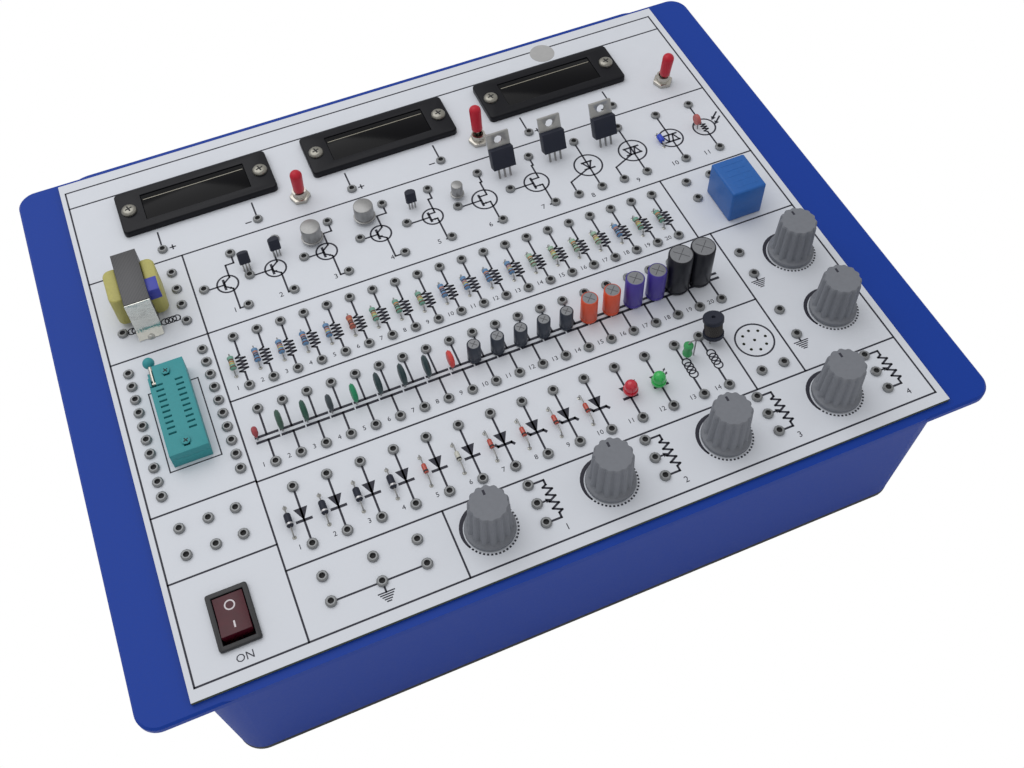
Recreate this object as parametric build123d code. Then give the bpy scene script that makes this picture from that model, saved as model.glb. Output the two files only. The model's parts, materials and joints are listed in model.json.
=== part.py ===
from build123d import *

import os
from math import atan2, cos, degrees, pi, radians, sin, tan

# Analog component trainer: a bench console with a soldered, printed panel of parts.
# Millimetres. +X runs to the right of the panel, +Y to its back, +Z up. The origin is the
# centre of the whole footprint, on the surface that the rubber feet stand on.

# Flat sides that stand for a round one, by the size of the piece
HEX_SIDES = 6
THIN_SIDES = 8
SMALL_SIDES = 12
ROUND_SIDES = 16
KNOB_SIDES = 24

# Panel board
PANEL_W = 290.0
PANEL_D = 246.0
PANEL_T = 1.6

# Cabinet: a tapered tub with a flange that forms a handle wing at each side
WING_W = 18.5
RIM = 3.5
FLANGE_T = 3.0
FLANGE_R = 8.0
FLANGE_EDGE = 0.8
TUB_H = 63.0
TUB_LEAN = 3.0
TUB_R = 10.0
TUB_INSET = 0.8
WALL = 2.6
LEDGE = 5.0
BOSS_R = 5.0
BOSS_INSET = 8.6
PILOT_R = 1.3

# Bottom cover, screws and feet
BASE_T = 2.5
SCREW_R = 1.5
SCREW_HEAD_R = 3.0
SCREW_HEAD_H = 1.9
SCREW_LEN = 10.0
SCREW_PLAY = 0.25
FOOT_R = 8.0
FOOT_H = 4.0
FOOT_DRAFT = 1.0
FOOT_INSET = 26.0

# Rear wall fittings
REAR_Z = 30.0
GLAND_X = 95.0
GLAND_R = 7.5
GLAND_NECK_R = 5.6
GLAND_BORE_R = 3.6
GLAND_T = 3.0
GLAND_DOME_H = 4.5
GLAND_LIP = 1.4
FUSE_X = 55.0
FUSE_R = 6.0
FUSE_FLANGE_R = 8.5
FUSE_FLANGE_T = 2.0
FUSE_CAP_R = 6.6
FUSE_CAP_L = 8.0
FUSE_DEPTH = 28.0
FIT_PLAY = 0.15

# Patch sockets
SOCKET_R = 2.1
SOCKET_H = 1.3

# Panel meters
METER_W = 67.6
METER_D = 24.0
METER_T = 3.0
METER_R = 2.0
METER_FIRST_X = 55.4
METER_PITCH = 83.8
METER_Y = 29.8
METERS = 3
WINDOW_W = 46.0
WINDOW_D = 15.0
WINDOW_SINK = 1.4
WINDOW_T = 1.1
METER_SCREW_DX = 29.0
METER_SCREW_R = 3.3
METER_SCREW_H = 1.6
METER_SCREW_CROWN_R = 2.0
METER_BODY_W = 50.0
METER_BODY_D = 19.0
METER_BODY_H = 16.0
METER_SOCKET_DX = 20.7
METER_SOCKET_Y = 54.3

# Range toggles
TOGGLE_XS = (96.5, 179.8, 271.8)
TOGGLE_Y = 49.6
TOGGLE_LEAN = 9.0
TOGGLE_LEANS_BACK = (False, True, False)
BUSH_R = 3.0
BUSH_H = 4.6
BUSH_BORE_R = 2.3
NUT_R = 4.6
NUT_H = 1.9
PIVOT_DEPTH = 0.4
PIVOT_R = 1.9
PIVOT_W = 2.0
LEVER_R = 1.15
LEVER_L = 18.0
CAP_R = 2.6
CAP_L = 12.6
CAP_END_T = 1.2
TOGGLE_BODY_W = 8.0
TOGGLE_BODY_D = 13.0
TOGGLE_BODY_H = 10.0

# Audio transformer on the panel
CORE_X = 20.5
CORE_Y = 80.0
CORE_W = 10.0
CORE_D = 27.0
CORE_H = 19.1
BOBBIN_W = 20.5
BOBBIN_D = 17.0
BOBBIN_H = 15.0
BRACKET_T = 0.7
BRACKET_FOOT = 4.0
TX_SOCKET_X = 35.3
TX_SOCKET_YS = (68.5, 77.6, 86.2, 94.9)
TX_PRIMARY_X = 10.2
TX_PRIMARY_YS = (71.0, 91.0)

# Row of semiconductors: sockets
ROW_TOP_Y = 68.0
ROW_MID_Y = 82.5
ROW_LOW_Y = 97.2
THREE_LEAD_XS = (60.3, 79.6, 103.0, 127.6, 148.5, 171.7, 196.1)
THREE_LEAD_BACK = 14.8
GATED_XS = (218.1, 239.7)
GATE_BACK = 11.0
TWO_LEAD_XS = (258.7, 275.4)

# Semiconductor bodies
LEG_W = 0.55
SMALL_CASE_R = 2.4
SMALL_CASE_H = 4.8
SMALL_CASE_FLAT = 1.2
SMALL_CASE_STAND = 3.6
SMALL_CASE_PITCH = 1.27
ROOT = 2.0
SMALL_CASE_SPOTS = ((64.7, 79.8), (78.3, 77.2), (139.0, 75.2))
SMALL_CASE_LEAN = (28.0, 18.0, 12.0)
CAN_R = 4.2
CAN_BRIM = 0.5
CAN_H = 7.0
CAN_STAND = 1.6
CAN_LEADS = 3
CAN_SPOTS = ((94.4, 74.6), (118.3, 72.6))
MINI_CAN_SPOT = (159.0, 76.8)
MINI_CAN_R = 2.5
MINI_CAN_H = 5.0
MINI_CAN_STAND = 2.6
POWER_SPOTS = ((182.4, 74.6), (206.4, 74.6), (230.4, 75.6))
POWER_W = 10.2
POWER_BODY_H = 9.2
POWER_TAB_H = 6.4
POWER_T = 4.4
POWER_TAB_T = 1.3
POWER_HOLE_R = 1.9
POWER_STAND = 5.0
POWER_LEAN = 22.0
POWER_LEG_PITCH = 2.54
POWER_LEG_W = 0.8
DIAC_SPOT = (253.3, 83.2)
DIAC_R = 1.3
DIAC_L = 3.8
PHOTOCELL_SPOT = (272.0, 81.6)
PHOTOCELL_R = 2.4
PHOTOCELL_T = 1.9
PHOTOCELL_STAND = 2.2

# Banks of resistors and capacitors share one set of columns
BANK_COLUMNS = 20
BANK_FIRST_X = 50.3
BANK_PITCH = 9.73
BODY_BACK = 3.7
RESISTOR_TOP_Y = 110.3
RESISTOR_LOW_Y = 134.9
RESISTOR_Y = 123.9
RESISTOR_L = 6.3
RESISTOR_R = 1.25
RESISTOR_LIFT = 2.6
RESISTOR_SPAN = 10.4
CAPACITOR_TOP_Y = 146.5
CAPACITOR_LOW_Y = 171.2
CAPACITOR_Y = 158.2
DISC_RADII = (2.0, 4.0, 4.2, 3.4, 3.9, 4.5, 4.6, 4.6, 3.6)
DISC_T = 2.4
DISC_STAND = 2.2
DISC_LEAD_SPREAD = 2.5
SLIM_CANS = 5
SLIM_CAN_SIZE = (2.7, 9.5)
MEDIUM_CAN_SIZE = (3.4, 12.5)
TALL_CAN_SIZE = (3.8, 15.0)
WIDE_CAN_SIZE = (5.0, 20.0)
PAIR = 2
CAN_LIFT = 0.8

# Diodes, lamps and coils
DIODE_COLUMNS = 13
DIODE_FIRST_X = 53.0
DIODE_PITCH = 12.87
LAST_COIL_X = 218.1
DIODE_TOP_Y = 183.7
DIODE_LOW_Y = 208.0
DIODES = 10
DIODE_BACK = 5.2
DIODE_Y = 196.9
DIODE_L = 5.2
DIODE_R = 1.35
DIODE_LIFT = 2.0
DIODE_SPAN = 13.0
LAMP_SPOTS = ((182.2, 196.4), (193.6, 197.2))
LAMP_R = 2.5
LAMP_BRIM = 0.4
LAMP_H = 5.4
LAMP_STAND = 2.4
LAMP_BRIM_H = 1.0
LAMP_DOME_H = 1.5
LAMP_DOME_R = 1.3
INDUCTOR_SPOT = (209.3, 190.4)
INDUCTOR_R = 1.9
INDUCTOR_L = 7.0
INDUCTOR_STAND = 2.0
INDUCTOR_LOOP = 3.0
INDUCTOR_LOOP_H = 1.5
CHOKE_SPOT = (222.2, 188.2)
CHOKE_R = 4.1
CHOKE_WAIST_R = 3.0
CHOKE_H = 9.5
CHOKE_RIM_H = 2.2
CHOKE_STAND = 3.6
CHOKE_LEAN = 14.0

# Zero-force socket for chips
ZIF_X = 22.6
ZIF_Y = 137.9
ZIF_W = 14.6
ZIF_D = 41.6
ZIF_BASE_H = 4.4
ZIF_TOP_H = 3.6
ZIF_GAP = 0.1
ZIF_ROWS = 10
ZIF_SLOT_PITCH = 2.54
ZIF_ROW_DX = 3.81
ZIF_SLOT_W = 3.0
ZIF_SLOT_D = 0.9
ZIF_SLOT_DEPTH = 2.2
ZIF_SCREW_R = 1.0
ZIF_SCREW_HEAD_R = 1.7
ZIF_SCREW_HEAD_H = 0.5
ZIF_SCREW_DY = 16.6
ZIF_TRAVEL = 0.9
ZIF_NOTCH_W = 2.6
ZIF_NOTCH_D = 8.6
ZIF_LEVER_R = 0.8
ZIF_LEVER_SET = 2.0
ZIF_EAR_W = 0.8
ZIF_EAR_R = 2.0
ZIF_LEVER_L = 10.5
ZIF_BALL_R = 2.4
BALL_BANDS = 5
ZIF_SOCKET_XS = (8.2, 37.6)
ZIF_SOCKET_FIRST_Y = 111.2
ZIF_SOCKET_PITCH = 6.4

# Relay
RELAY_X = 265.3
RELAY_Y = 127.2
RELAY_W = 15.4
RELAY_D = 19.2
RELAY_H = 16.6
RELAY_STAND = 0.5
RELAY_EDGE = 0.6
RELAY_FOOT_INSET = 2.0
RELAY_FOOT_W = 1.0
RELAY_SOCKET_SPOTS = ((252.1, 109.9), (263.6, 109.9), (275.0, 109.9), (252.3, 119.9), (280.0, 119.9))

# Speaker
SPEAKER_X = 237.3
SPEAKER_Y = 193.7
SPEAKER_R = 18.0
SPEAKER_CONE_R = 9.0
SPEAKER_H = 9.0
SPEAKER_PAPER_T = 1.0
SPEAKER_HOLES = 8
SPEAKER_RING_R = 4.75
SPEAKER_HOLE_R = 0.65
SPEAKER_SOCKET_DX = 4.8
SPEAKER_SOCKET_Y = 207.4

# Supplies
AC_XS = (11.1, 21.7, 31.7)
AC_YS = (183.7, 194.7)
FIXED_XS = (52.5, 70.9, 87.3)
FIXED_YS = (221.0, 230.9)
VARIABLE_X = 253.4
VARIABLE_YS = (153.2, 165.2, 185.1, 197.9)

# Mains rocker
ROCKER_X = 20.4
ROCKER_Y = 223.3
ROCKER_W = 14.8
ROCKER_D = 21.4
ROCKER_FRAME_T = 1.6
ROCKER_FRAME_WALL = 1.0
ROCKER_BODY_WALL = 0.8
ROCKER_BODY_H = 14.0
ROCKER_TILT = 9.0
ROCKER_PLAY = 0.35
ROCKER_PIVOT_Z = -1.5
ROCKER_CREST = 3.0
ROCKER_DEPTH = 5.0
ROCKER_NARROW = 1.5
ROCKER_PIN_R = 1.0
ROCKER_CORNER_R = 1.0
ROCKER_SHOULDER = 3.0

# Potentiometers: four along the front, then two beside the variable supplies
POT_FIRST_X = 112.4
POT_PITCH = 46.8
POT_Y = 227.0
POTS = 4
SUPPLY_POT_X = 272.7
SUPPLY_POT_YS = (161.0, 192.8)
POT_SOCKET_DX = 18.8
POT_SOCKET_YS = (217.0, 225.0, 233.0)
POT_BODY_R = 8.2
POT_BODY_H = 9.5
POT_BUSH_R = 3.5
POT_NUT_R = 5.2
POT_NUT_H = 1.2
POT_THREAD_H = 0.6
SHAFT_R = 3.0
SHAFT_PLAY = 0.05
KNOB_SKIRT_R = 9.3
KNOB_SKIRT_H = 2.0
KNOB_R = 8.0
KNOB_TOP_R = 7.2
KNOB_H = 19.0
KNOB_LIFT = 0.5
KNOB_FLUTES = 14
FLUTE_DEPTH = 0.7
KNOB_RECESS_R = 6.0
KNOB_RECESS_H = 1.6

# Power supply inside the cabinet
MAINS_X = 72.0
MAINS_Y = 70.0
MAINS_W = 50.0
MAINS_D = 17.0
MAINS_H = 42.0
MAINS_COIL_W = 32.0
MAINS_COIL_D = 36.0
MAINS_COIL_H = 28.0
BOARD_X = 150.0
BOARD_Y = 120.0
BOARD_W = 110.0
BOARD_D = 70.0
BOARD_T = 1.6
STANDOFF_H = 8.0
STANDOFF_R = 3.0
STANDOFF_INSET = 6.0
SMOOTHER_R = 8.0
SMOOTHER_H = 22.0
SMOOTHER_DX = 20.0
SINK_W = 60.0
SINK_T = 2.0
SINK_H = 25.0
SINK_LIP = 12.0
SINK_DX = 20.0
SINK_DY = 15.0

# Heights and half sizes that follow from the values above
BASE_Z = FOOT_H
TUB_Z = BASE_Z + BASE_T
FLANGE_TOP = TUB_Z + TUB_H
TOP = FLANGE_TOP + PANEL_T
HALF_X = PANEL_W / 2 - TUB_INSET
HALF_Y = PANEL_D / 2 + RIM
FLOOR_X = HALF_X - TUB_LEAN
FLOOR_Y = HALF_Y - TUB_LEAN
WALL_LEAN = atan2(TUB_LEAN, TUB_H)
STANDING = (Align.CENTER, Align.CENTER, Align.MIN)
HANGING = (Align.CENTER, Align.CENTER, Align.MAX)

nodes = {}


def spot(x, y, z=0.0):
    """A place on the panel: x from its left edge, y from its back edge, z above its face."""
    return Pos(x - PANEL_W / 2, PANEL_D / 2 - y, TOP + z)


def block(w, d, h, x=0.0, y=0.0, z=0.0):
    """A box that stands on z."""
    return Pos(x, y, z) * Box(w, d, h, align=STANDING)


def hung_block(w, d, h, x=0.0, y=0.0, z=0.0):
    """A box whose top is at z."""
    return Pos(x, y, z) * Box(w, d, h, align=HANGING)


def post(r, h, x=0.0, y=0.0, z=0.0):
    """A round post that stands on z."""
    return Pos(x, y, z) * Cylinder(r, h, align=STANDING)


def prism(r, h, sides, x=0.0, y=0.0, z=0.0):
    """A many-sided post that stands on z."""
    return Pos(x, y, z) * extrude(RegularPolygon(r, sides), h)


def frustum(r_low, r_top, h, sides, z=0.0):
    """A many-sided post that stands on z and narrows or widens towards its top."""
    flat = cos(pi / sides)
    taper = degrees(atan2((r_low - r_top) * flat, h))
    return Pos(0, 0, z) * extrude(RegularPolygon(r_low, sides), h, taper=taper)


def faceted_ball(radius, sides, bands):
    """A ball of flat facets, in bands that widen up to its middle and narrow again."""
    turns = [pi * (i + 0.5) / (bands + 1) for i in range(bands + 1)]
    heights = [-radius * cos(turn) for turn in turns]
    radii = [radius * sin(turn) for turn in turns]
    ball = None
    for i in range(bands):
        band = frustum(radii[i], radii[i + 1], heights[i + 1] - heights[i], sides, z=heights[i])
        ball = band if ball is None else ball + band
    return ball


def panel_hole(r, sides):
    """A cutter that goes right through the panel board."""
    return prism(r, 3 * PANEL_T, sides, z=-2 * PANEL_T)


def rounded_slab(w, d, r, h, lean=0.0):
    """A slab with round corners; lean is the draft angle of its walls in degrees."""
    return extrude(RectangleRounded(w, d, r), h, taper=-lean)


def tipped(solid, lean):
    """The solid turned about the X axis, so that its top leans back."""
    return Rot(-lean, 0, 0) * solid


def leg(x, y, height):
    """One square lead from the panel up to a body."""
    return block(LEG_W, LEG_W, height, x, y)


def rooted_leg(x, stand, w=LEG_W):
    """A lead of a leaning component: it starts under the panel face and ends in the body."""
    return block(w, LEG_W, stand + 2 * LEG_W + ROOT, x, z=-ROOT)


def cut_at_panel(solid):
    """The part of a leaning component that is above the panel face."""
    return split(solid, Plane.XY, keep=Keep.TOP)


def corners(half_x, half_y):
    """The four corner places of a rectangle."""
    return [(sx * half_x, sy * half_y) for sx in (-1, 1) for sy in (-1, 1)]


def sockets(places):
    """One hexagonal socket bush on the panel at each place."""
    return Compound([spot(x, y) * prism(SOCKET_R, SOCKET_H, HEX_SIDES).solid() for x, y in places])


def bank_xs():
    """The columns that the resistor and capacitor banks share."""
    return [BANK_FIRST_X + i * BANK_PITCH for i in range(BANK_COLUMNS)]


def diode_xs():
    """The columns of the diode row."""
    return [DIODE_FIRST_X + i * DIODE_PITCH for i in range(DIODE_COLUMNS)] + [LAST_COIL_X]


def meter_xs():
    return [METER_FIRST_X + i * METER_PITCH for i in range(METERS)]


def pot_places():
    front = [(POT_FIRST_X + i * POT_PITCH, POT_Y) for i in range(POTS)]
    return front + [(SUPPLY_POT_X, y) for y in SUPPLY_POT_YS]


def screw_places():
    """Base screws: one near each corner and one in the middle of each long wall."""
    half_x = FLOOR_X - BOSS_INSET
    half_y = FLOOR_Y - BOSS_INSET
    return corners(half_x, half_y) + [(0.0, -half_y), (0.0, half_y)]


def rear_wall(x):
    """The plane of the leaning rear wall's outer face at the height of its fittings."""
    y = FLOOR_Y + (REAR_Z - TUB_Z) * tan(WALL_LEAN)
    return Plane(origin=(x, y, REAR_Z), x_dir=(1, 0, 0), z_dir=(0, cos(WALL_LEAN), -sin(WALL_LEAN)))


def rear_hole(r):
    """A cutter that goes through the rear wall with a little play round a fitting."""
    return prism(r + FIT_PLAY, 4 * WALL, ROUND_SIDES, z=-2 * WALL)


# Cabinet


def make_tub():
    lean = degrees(WALL_LEAN)
    shell = rounded_slab(2 * FLOOR_X, 2 * FLOOR_Y, TUB_R, TUB_H, lean)
    cavity = rounded_slab(2 * (FLOOR_X - WALL), 2 * (FLOOR_Y - WALL), TUB_R - WALL, TUB_H - FLANGE_T, lean)
    opening = block(PANEL_W - 2 * LEDGE, PANEL_D - 2 * LEDGE, FLANGE_T, z=TUB_H - FLANGE_T)
    wings = extrude(RectangleRounded(PANEL_W + 2 * WING_W, 2 * HALF_Y, FLANGE_R), FLANGE_T)
    wings = chamfer(wings.edges().group_by(Axis.Z)[-1], FLANGE_EDGE)
    tub = shell + Pos(0, 0, TUB_H - FLANGE_T) * wings - cavity - opening
    for x, y in screw_places():
        tub += prism(BOSS_R, TUB_H - FLANGE_T / 2, SMALL_SIDES, x, y) & (shell - opening)
    for x, y in screw_places():
        tub -= prism(PILOT_R, SCREW_LEN + FIT_PLAY, THIN_SIDES, x, y)
    tub = Pos(0, 0, TUB_Z) * tub
    tub -= rear_wall(GLAND_X).location * rear_hole(GLAND_NECK_R)
    tub -= rear_wall(FUSE_X).location * rear_hole(FUSE_R)
    return tub


def make_base():
    plate = Pos(0, 0, BASE_Z) * rounded_slab(2 * FLOOR_X, 2 * FLOOR_Y, TUB_R, BASE_T)
    for x, y in screw_places():
        plate -= prism(SCREW_R + SCREW_PLAY, BASE_T, SMALL_SIDES, x, y, BASE_Z)
    return plate


def make_base_screw(x, y):
    shank = prism(PILOT_R, SCREW_LEN, THIN_SIDES, x, y, BASE_Z)
    head = prism(SCREW_HEAD_R, SCREW_HEAD_H, SMALL_SIDES, x, y, BASE_Z - SCREW_HEAD_H)
    return shank + head


def foot_places():
    return corners(FLOOR_X - FOOT_INSET, FLOOR_Y - FOOT_INSET)


def make_foot(x, y):
    return Pos(x, y, 0) * frustum(FOOT_R - FOOT_DRAFT, FOOT_R, FOOT_H, ROUND_SIDES)


def make_gland():
    """A hexagon body and its domed nut outside the wall, and a hexagon locknut inside."""
    neck = prism(GLAND_NECK_R, WALL, ROUND_SIDES, z=-WALL)
    body = prism(GLAND_R, GLAND_T, HEX_SIDES)
    dome = frustum(GLAND_NECK_R, GLAND_BORE_R + GLAND_LIP, GLAND_DOME_H, ROUND_SIDES, z=GLAND_T)
    locknut = prism(GLAND_R, GLAND_T, HEX_SIDES, z=-WALL - GLAND_T)
    depth = WALL + GLAND_T
    bore = prism(GLAND_BORE_R, depth + GLAND_T + GLAND_DOME_H, SMALL_SIDES, z=-depth)
    return rear_wall(GLAND_X).location * (neck + body + dome + locknut - bore)


def make_fuse_holder():
    barrel = prism(FUSE_R, FUSE_DEPTH, ROUND_SIDES, z=-FUSE_DEPTH)
    flange = prism(FUSE_FLANGE_R, FUSE_FLANGE_T, ROUND_SIDES)
    cap = prism(FUSE_CAP_R, FUSE_CAP_L, SMALL_SIDES, z=FUSE_FLANGE_T)
    return rear_wall(FUSE_X).location * (barrel + flange + cap)


nodes["cabinet_tub"] = make_tub()
nodes["base_cover"] = make_base()
nodes["base_screws"] = Compound([make_base_screw(x, y).solid() for x, y in screw_places()])
nodes["rubber_feet"] = Compound([make_foot(x, y).solid() for x, y in foot_places()])
nodes["mains_gland"] = make_gland()
nodes["fuse_holder"] = make_fuse_holder()


# Panel board


def make_board():
    board = Pos(0, 0, FLANGE_TOP) * Box(PANEL_W, PANEL_D, PANEL_T, align=STANDING)
    for x in meter_xs():
        board -= spot(x, METER_Y) * Box(METER_BODY_W + 2 * FIT_PLAY, METER_BODY_D + 2 * FIT_PLAY, 3 * PANEL_T)
    board -= spot(ROCKER_X, ROCKER_Y) * Box(rocker_body_w() + FIT_PLAY, rocker_body_d() + FIT_PLAY, 3 * PANEL_T)
    for x in TOGGLE_XS:
        board -= spot(x, TOGGLE_Y) * panel_hole(BUSH_R + FIT_PLAY, ROUND_SIDES)
    for x, y in pot_places():
        board -= spot(x, y) * panel_hole(POT_BUSH_R + FIT_PLAY, ROUND_SIDES)
    board -= spot(SPEAKER_X, SPEAKER_Y) * speaker_grille()
    return board


def speaker_grille():
    """The middle hole and the ring of holes in front of the speaker."""
    hole = panel_hole(SPEAKER_HOLE_R, THIN_SIDES)
    return hole + [loc * hole for loc in PolarLocations(SPEAKER_RING_R, SPEAKER_HOLES)]


def rocker_body_w():
    return ROCKER_W - 2 * ROCKER_FRAME_WALL


def rocker_body_d():
    return ROCKER_D - 2 * ROCKER_FRAME_WALL


nodes["panel_board"] = make_board()


# Patch sockets, one node for each bank


def socket_banks():
    row = []
    for x in THREE_LEAD_XS:
        row += [(x, ROW_TOP_Y), (x - THREE_LEAD_BACK, ROW_MID_Y), (x, ROW_LOW_Y)]
    for x in GATED_XS:
        row += [(x, ROW_TOP_Y), (x - GATE_BACK, ROW_LOW_Y), (x, ROW_LOW_Y)]
    row += [(x, y) for x in TWO_LEAD_XS for y in (ROW_TOP_Y, ROW_LOW_Y)]
    upper = [(x + s * METER_SOCKET_DX, METER_SOCKET_Y) for x in meter_xs() for s in (-1, 1)]
    upper += [(TX_SOCKET_X, y) for y in TX_SOCKET_YS]
    upper += [(TX_PRIMARY_X, y) for y in TX_PRIMARY_YS]
    zif = [(x, ZIF_SOCKET_FIRST_Y + i * ZIF_SOCKET_PITCH) for x in ZIF_SOCKET_XS for i in range(ZIF_ROWS)]
    diodes = [(x, y) for x in diode_xs() for y in (DIODE_TOP_Y, DIODE_LOW_Y)]
    diodes += [(SPEAKER_X + s * SPEAKER_SOCKET_DX, SPEAKER_SOCKET_Y) for s in (-1, 1)]
    supplies = [(x, y) for x in AC_XS for y in AC_YS]
    supplies += [(x, y) for x in FIXED_XS for y in FIXED_YS]
    supplies += [(VARIABLE_X, y) for y in VARIABLE_YS]
    pots = [(x + POT_SOCKET_DX, y) for x, _ in pot_places()[:POTS] for y in POT_SOCKET_YS]
    return {
        "meter_sockets": upper,
        "transistor_sockets": row,
        "resistor_sockets": [(x, y) for x in bank_xs() for y in (RESISTOR_TOP_Y, RESISTOR_LOW_Y)],
        "capacitor_sockets": [(x, y) for x in bank_xs() for y in (CAPACITOR_TOP_Y, CAPACITOR_LOW_Y)],
        "zif_side_sockets": zif,
        "diode_sockets": diodes,
        "supply_sockets": supplies + list(RELAY_SOCKET_SPOTS) + pots,
    }


for bank, places in socket_banks().items():
    nodes[bank] = sockets(places)


# Panel meters


def make_bezel(x):
    bezel = rounded_slab(METER_W, METER_D, METER_R, METER_T)
    bezel = chamfer(bezel.edges().group_by(Axis.Z)[-1], METER_T / 6)
    bezel -= hung_block(WINDOW_W, WINDOW_D, WINDOW_SINK, z=METER_T)
    bezel += hung_block(METER_BODY_W, METER_BODY_D, METER_BODY_H)
    return spot(x, METER_Y) * bezel


def make_window(x):
    play = 2 * FIT_PLAY
    return spot(x, METER_Y, METER_T - WINDOW_SINK) * block(WINDOW_W - play, WINDOW_D - play, WINDOW_T)


def make_meter_screws(x):
    head = frustum(METER_SCREW_R, METER_SCREW_CROWN_R, METER_SCREW_H, SMALL_SIDES)
    return [spot(x + s * METER_SCREW_DX, METER_Y, METER_T) * head.solid() for s in (-1, 1)]


for number, x in enumerate(meter_xs(), 1):
    nodes[f"meter_bezel_{number}"] = make_bezel(x)
nodes["meter_windows"] = Compound([make_window(x).solid() for x in meter_xs()])
nodes["meter_screws"] = Compound([screw for x in meter_xs() for screw in make_meter_screws(x)])


# Range toggles


def make_toggle_body(x):
    body = hung_block(TOGGLE_BODY_W, TOGGLE_BODY_D, TOGGLE_BODY_H, z=-PANEL_T)
    body += prism(BUSH_R, BUSH_H + PANEL_T, ROUND_SIDES, z=-PANEL_T)
    body += prism(NUT_R, NUT_H, HEX_SIDES)
    well = PIVOT_DEPTH + PIVOT_R + SHAFT_PLAY + FIT_PLAY
    body -= prism(BUSH_BORE_R, BUSH_H + 2 * well, SMALL_SIDES, z=-well)
    return spot(x, TOGGLE_Y) * body


def toggle_tilt(number):
    return TOGGLE_LEAN if TOGGLE_LEANS_BACK[number] else -TOGGLE_LEAN


def make_toggle_lever(number):
    """A lever that turns on a barrel inside the bush."""
    lever = Rot(0, 90, 0) * Cylinder(PIVOT_R, PIVOT_W) + prism(LEVER_R, LEVER_L, THIN_SIDES)
    return spot(TOGGLE_XS[number], TOGGLE_Y, -PIVOT_DEPTH) * tipped(lever, toggle_tilt(number))


def make_toggle_cap(number):
    start = LEVER_L + CAP_END_T - CAP_L
    sleeve = prism(CAP_R, CAP_L, SMALL_SIDES, z=start)
    sleeve = chamfer(sleeve.edges().group_by(Axis.Z)[-1], CAP_R / 3)
    sleeve -= prism(LEVER_R, LEVER_L, THIN_SIDES)
    return spot(TOGGLE_XS[number], TOGGLE_Y, -PIVOT_DEPTH) * tipped(sleeve, toggle_tilt(number))


nodes["toggle_bodies"] = Compound([make_toggle_body(x).solid() for x in TOGGLE_XS])
for index in range(len(TOGGLE_XS)):
    nodes[f"toggle_lever_{index + 1}"] = make_toggle_lever(index)
    nodes[f"toggle_cap_{index + 1}"] = make_toggle_cap(index)


# Audio transformer


def make_core():
    core = block(CORE_W, CORE_D, CORE_H - BRACKET_T, z=BRACKET_T)
    window_d = (CORE_D - BOBBIN_D / 2) / 2
    for side in (-1, 1):
        core -= Pos(0, side * BOBBIN_D / 2.6, CORE_H / 2) * Box(2 * CORE_W, window_d / 2, BOBBIN_H - 3.0)
    return spot(CORE_X, CORE_Y) * core


def make_bobbin():
    coil = Pos(0, 0, CORE_H / 2) * Box(BOBBIN_W, BOBBIN_D, BOBBIN_H)
    coil = fillet(coil.edges().filter_by(Axis.Z), 3.0)
    return spot(CORE_X, CORE_Y) * coil - make_core()


def make_bracket():
    """A strap that folds round the front of the core and out into two soldered tabs."""
    strap = block(CORE_W, BRACKET_T, CORE_H, y=-(CORE_D + BRACKET_T) / 2)
    strap += block(CORE_W, CORE_D + BRACKET_T, BRACKET_T, y=-BRACKET_T / 2)
    strap += block(CORE_W * 0.6, BRACKET_FOOT, BRACKET_T, y=-CORE_D / 2 - BRACKET_T - BRACKET_FOOT / 2)
    strap += block(CORE_W * 0.6, BRACKET_FOOT, BRACKET_T, y=CORE_D / 2 + BRACKET_FOOT / 2)
    return spot(CORE_X, CORE_Y) * strap


nodes["transformer_core"] = make_core()
nodes["transformer_bobbin"] = make_bobbin()
nodes["transformer_bracket"] = make_bracket()


# Small components on their leads


def make_small_transistor(lean):
    """A moulded case with a flat front on three leads in a row."""
    case = prism(SMALL_CASE_R, SMALL_CASE_H, SMALL_SIDES, z=SMALL_CASE_STAND)
    front = -SMALL_CASE_FLAT - SMALL_CASE_R / 2
    case -= block(4 * SMALL_CASE_R, SMALL_CASE_R, SMALL_CASE_H, y=front, z=SMALL_CASE_STAND)
    for place in (-1, 0, 1):
        case += rooted_leg(place * SMALL_CASE_PITCH, SMALL_CASE_STAND)
    return cut_at_panel(tipped(case, lean))


def make_can(radius, height, stand):
    """A metal can with a brim on three leads."""
    can = prism(radius + CAN_BRIM, CAN_BRIM, ROUND_SIDES, z=stand)
    can += prism(radius, height, ROUND_SIDES, z=stand)
    for lead in range(CAN_LEADS):
        turn = 2 * pi * lead / CAN_LEADS
        can += leg(radius / 2 * cos(turn), radius / 2 * sin(turn), stand + CAN_BRIM / 2)
    return can


def make_power_device():
    """A moulded body with a bored metal tab above it, on three flat leads."""
    body_top = POWER_STAND + POWER_BODY_H
    device = block(POWER_W, POWER_T, POWER_BODY_H, z=POWER_STAND)
    device += block(POWER_W, POWER_TAB_T, POWER_TAB_H, y=(POWER_T - POWER_TAB_T) / 2, z=body_top)
    hole = Rot(90, 0, 0) * prism(POWER_HOLE_R, 2 * POWER_T, THIN_SIDES, z=-POWER_T)
    device -= Pos(0, 0, body_top + POWER_TAB_H / 2) * hole
    for place in (-1, 0, 1):
        device += rooted_leg(place * POWER_LEG_PITCH, POWER_STAND, POWER_LEG_W)
    return cut_at_panel(tipped(device, POWER_LEAN))


def make_axial(radius, length, lift, span):
    """A body that lies on a bent lead soldered at both ends, along Y."""
    wire = hung_block(LEG_W, span, LEG_W, z=lift + LEG_W / 2)
    for side in (-1, 1):
        wire += leg(0, side * (span - LEG_W) / 2, lift + LEG_W / 2)
    body = Pos(0, 0, lift) * Rot(90, 0, 0) * Pos(0, 0, -length / 2) * prism(radius, length, THIN_SIDES)
    return wire + body


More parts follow.
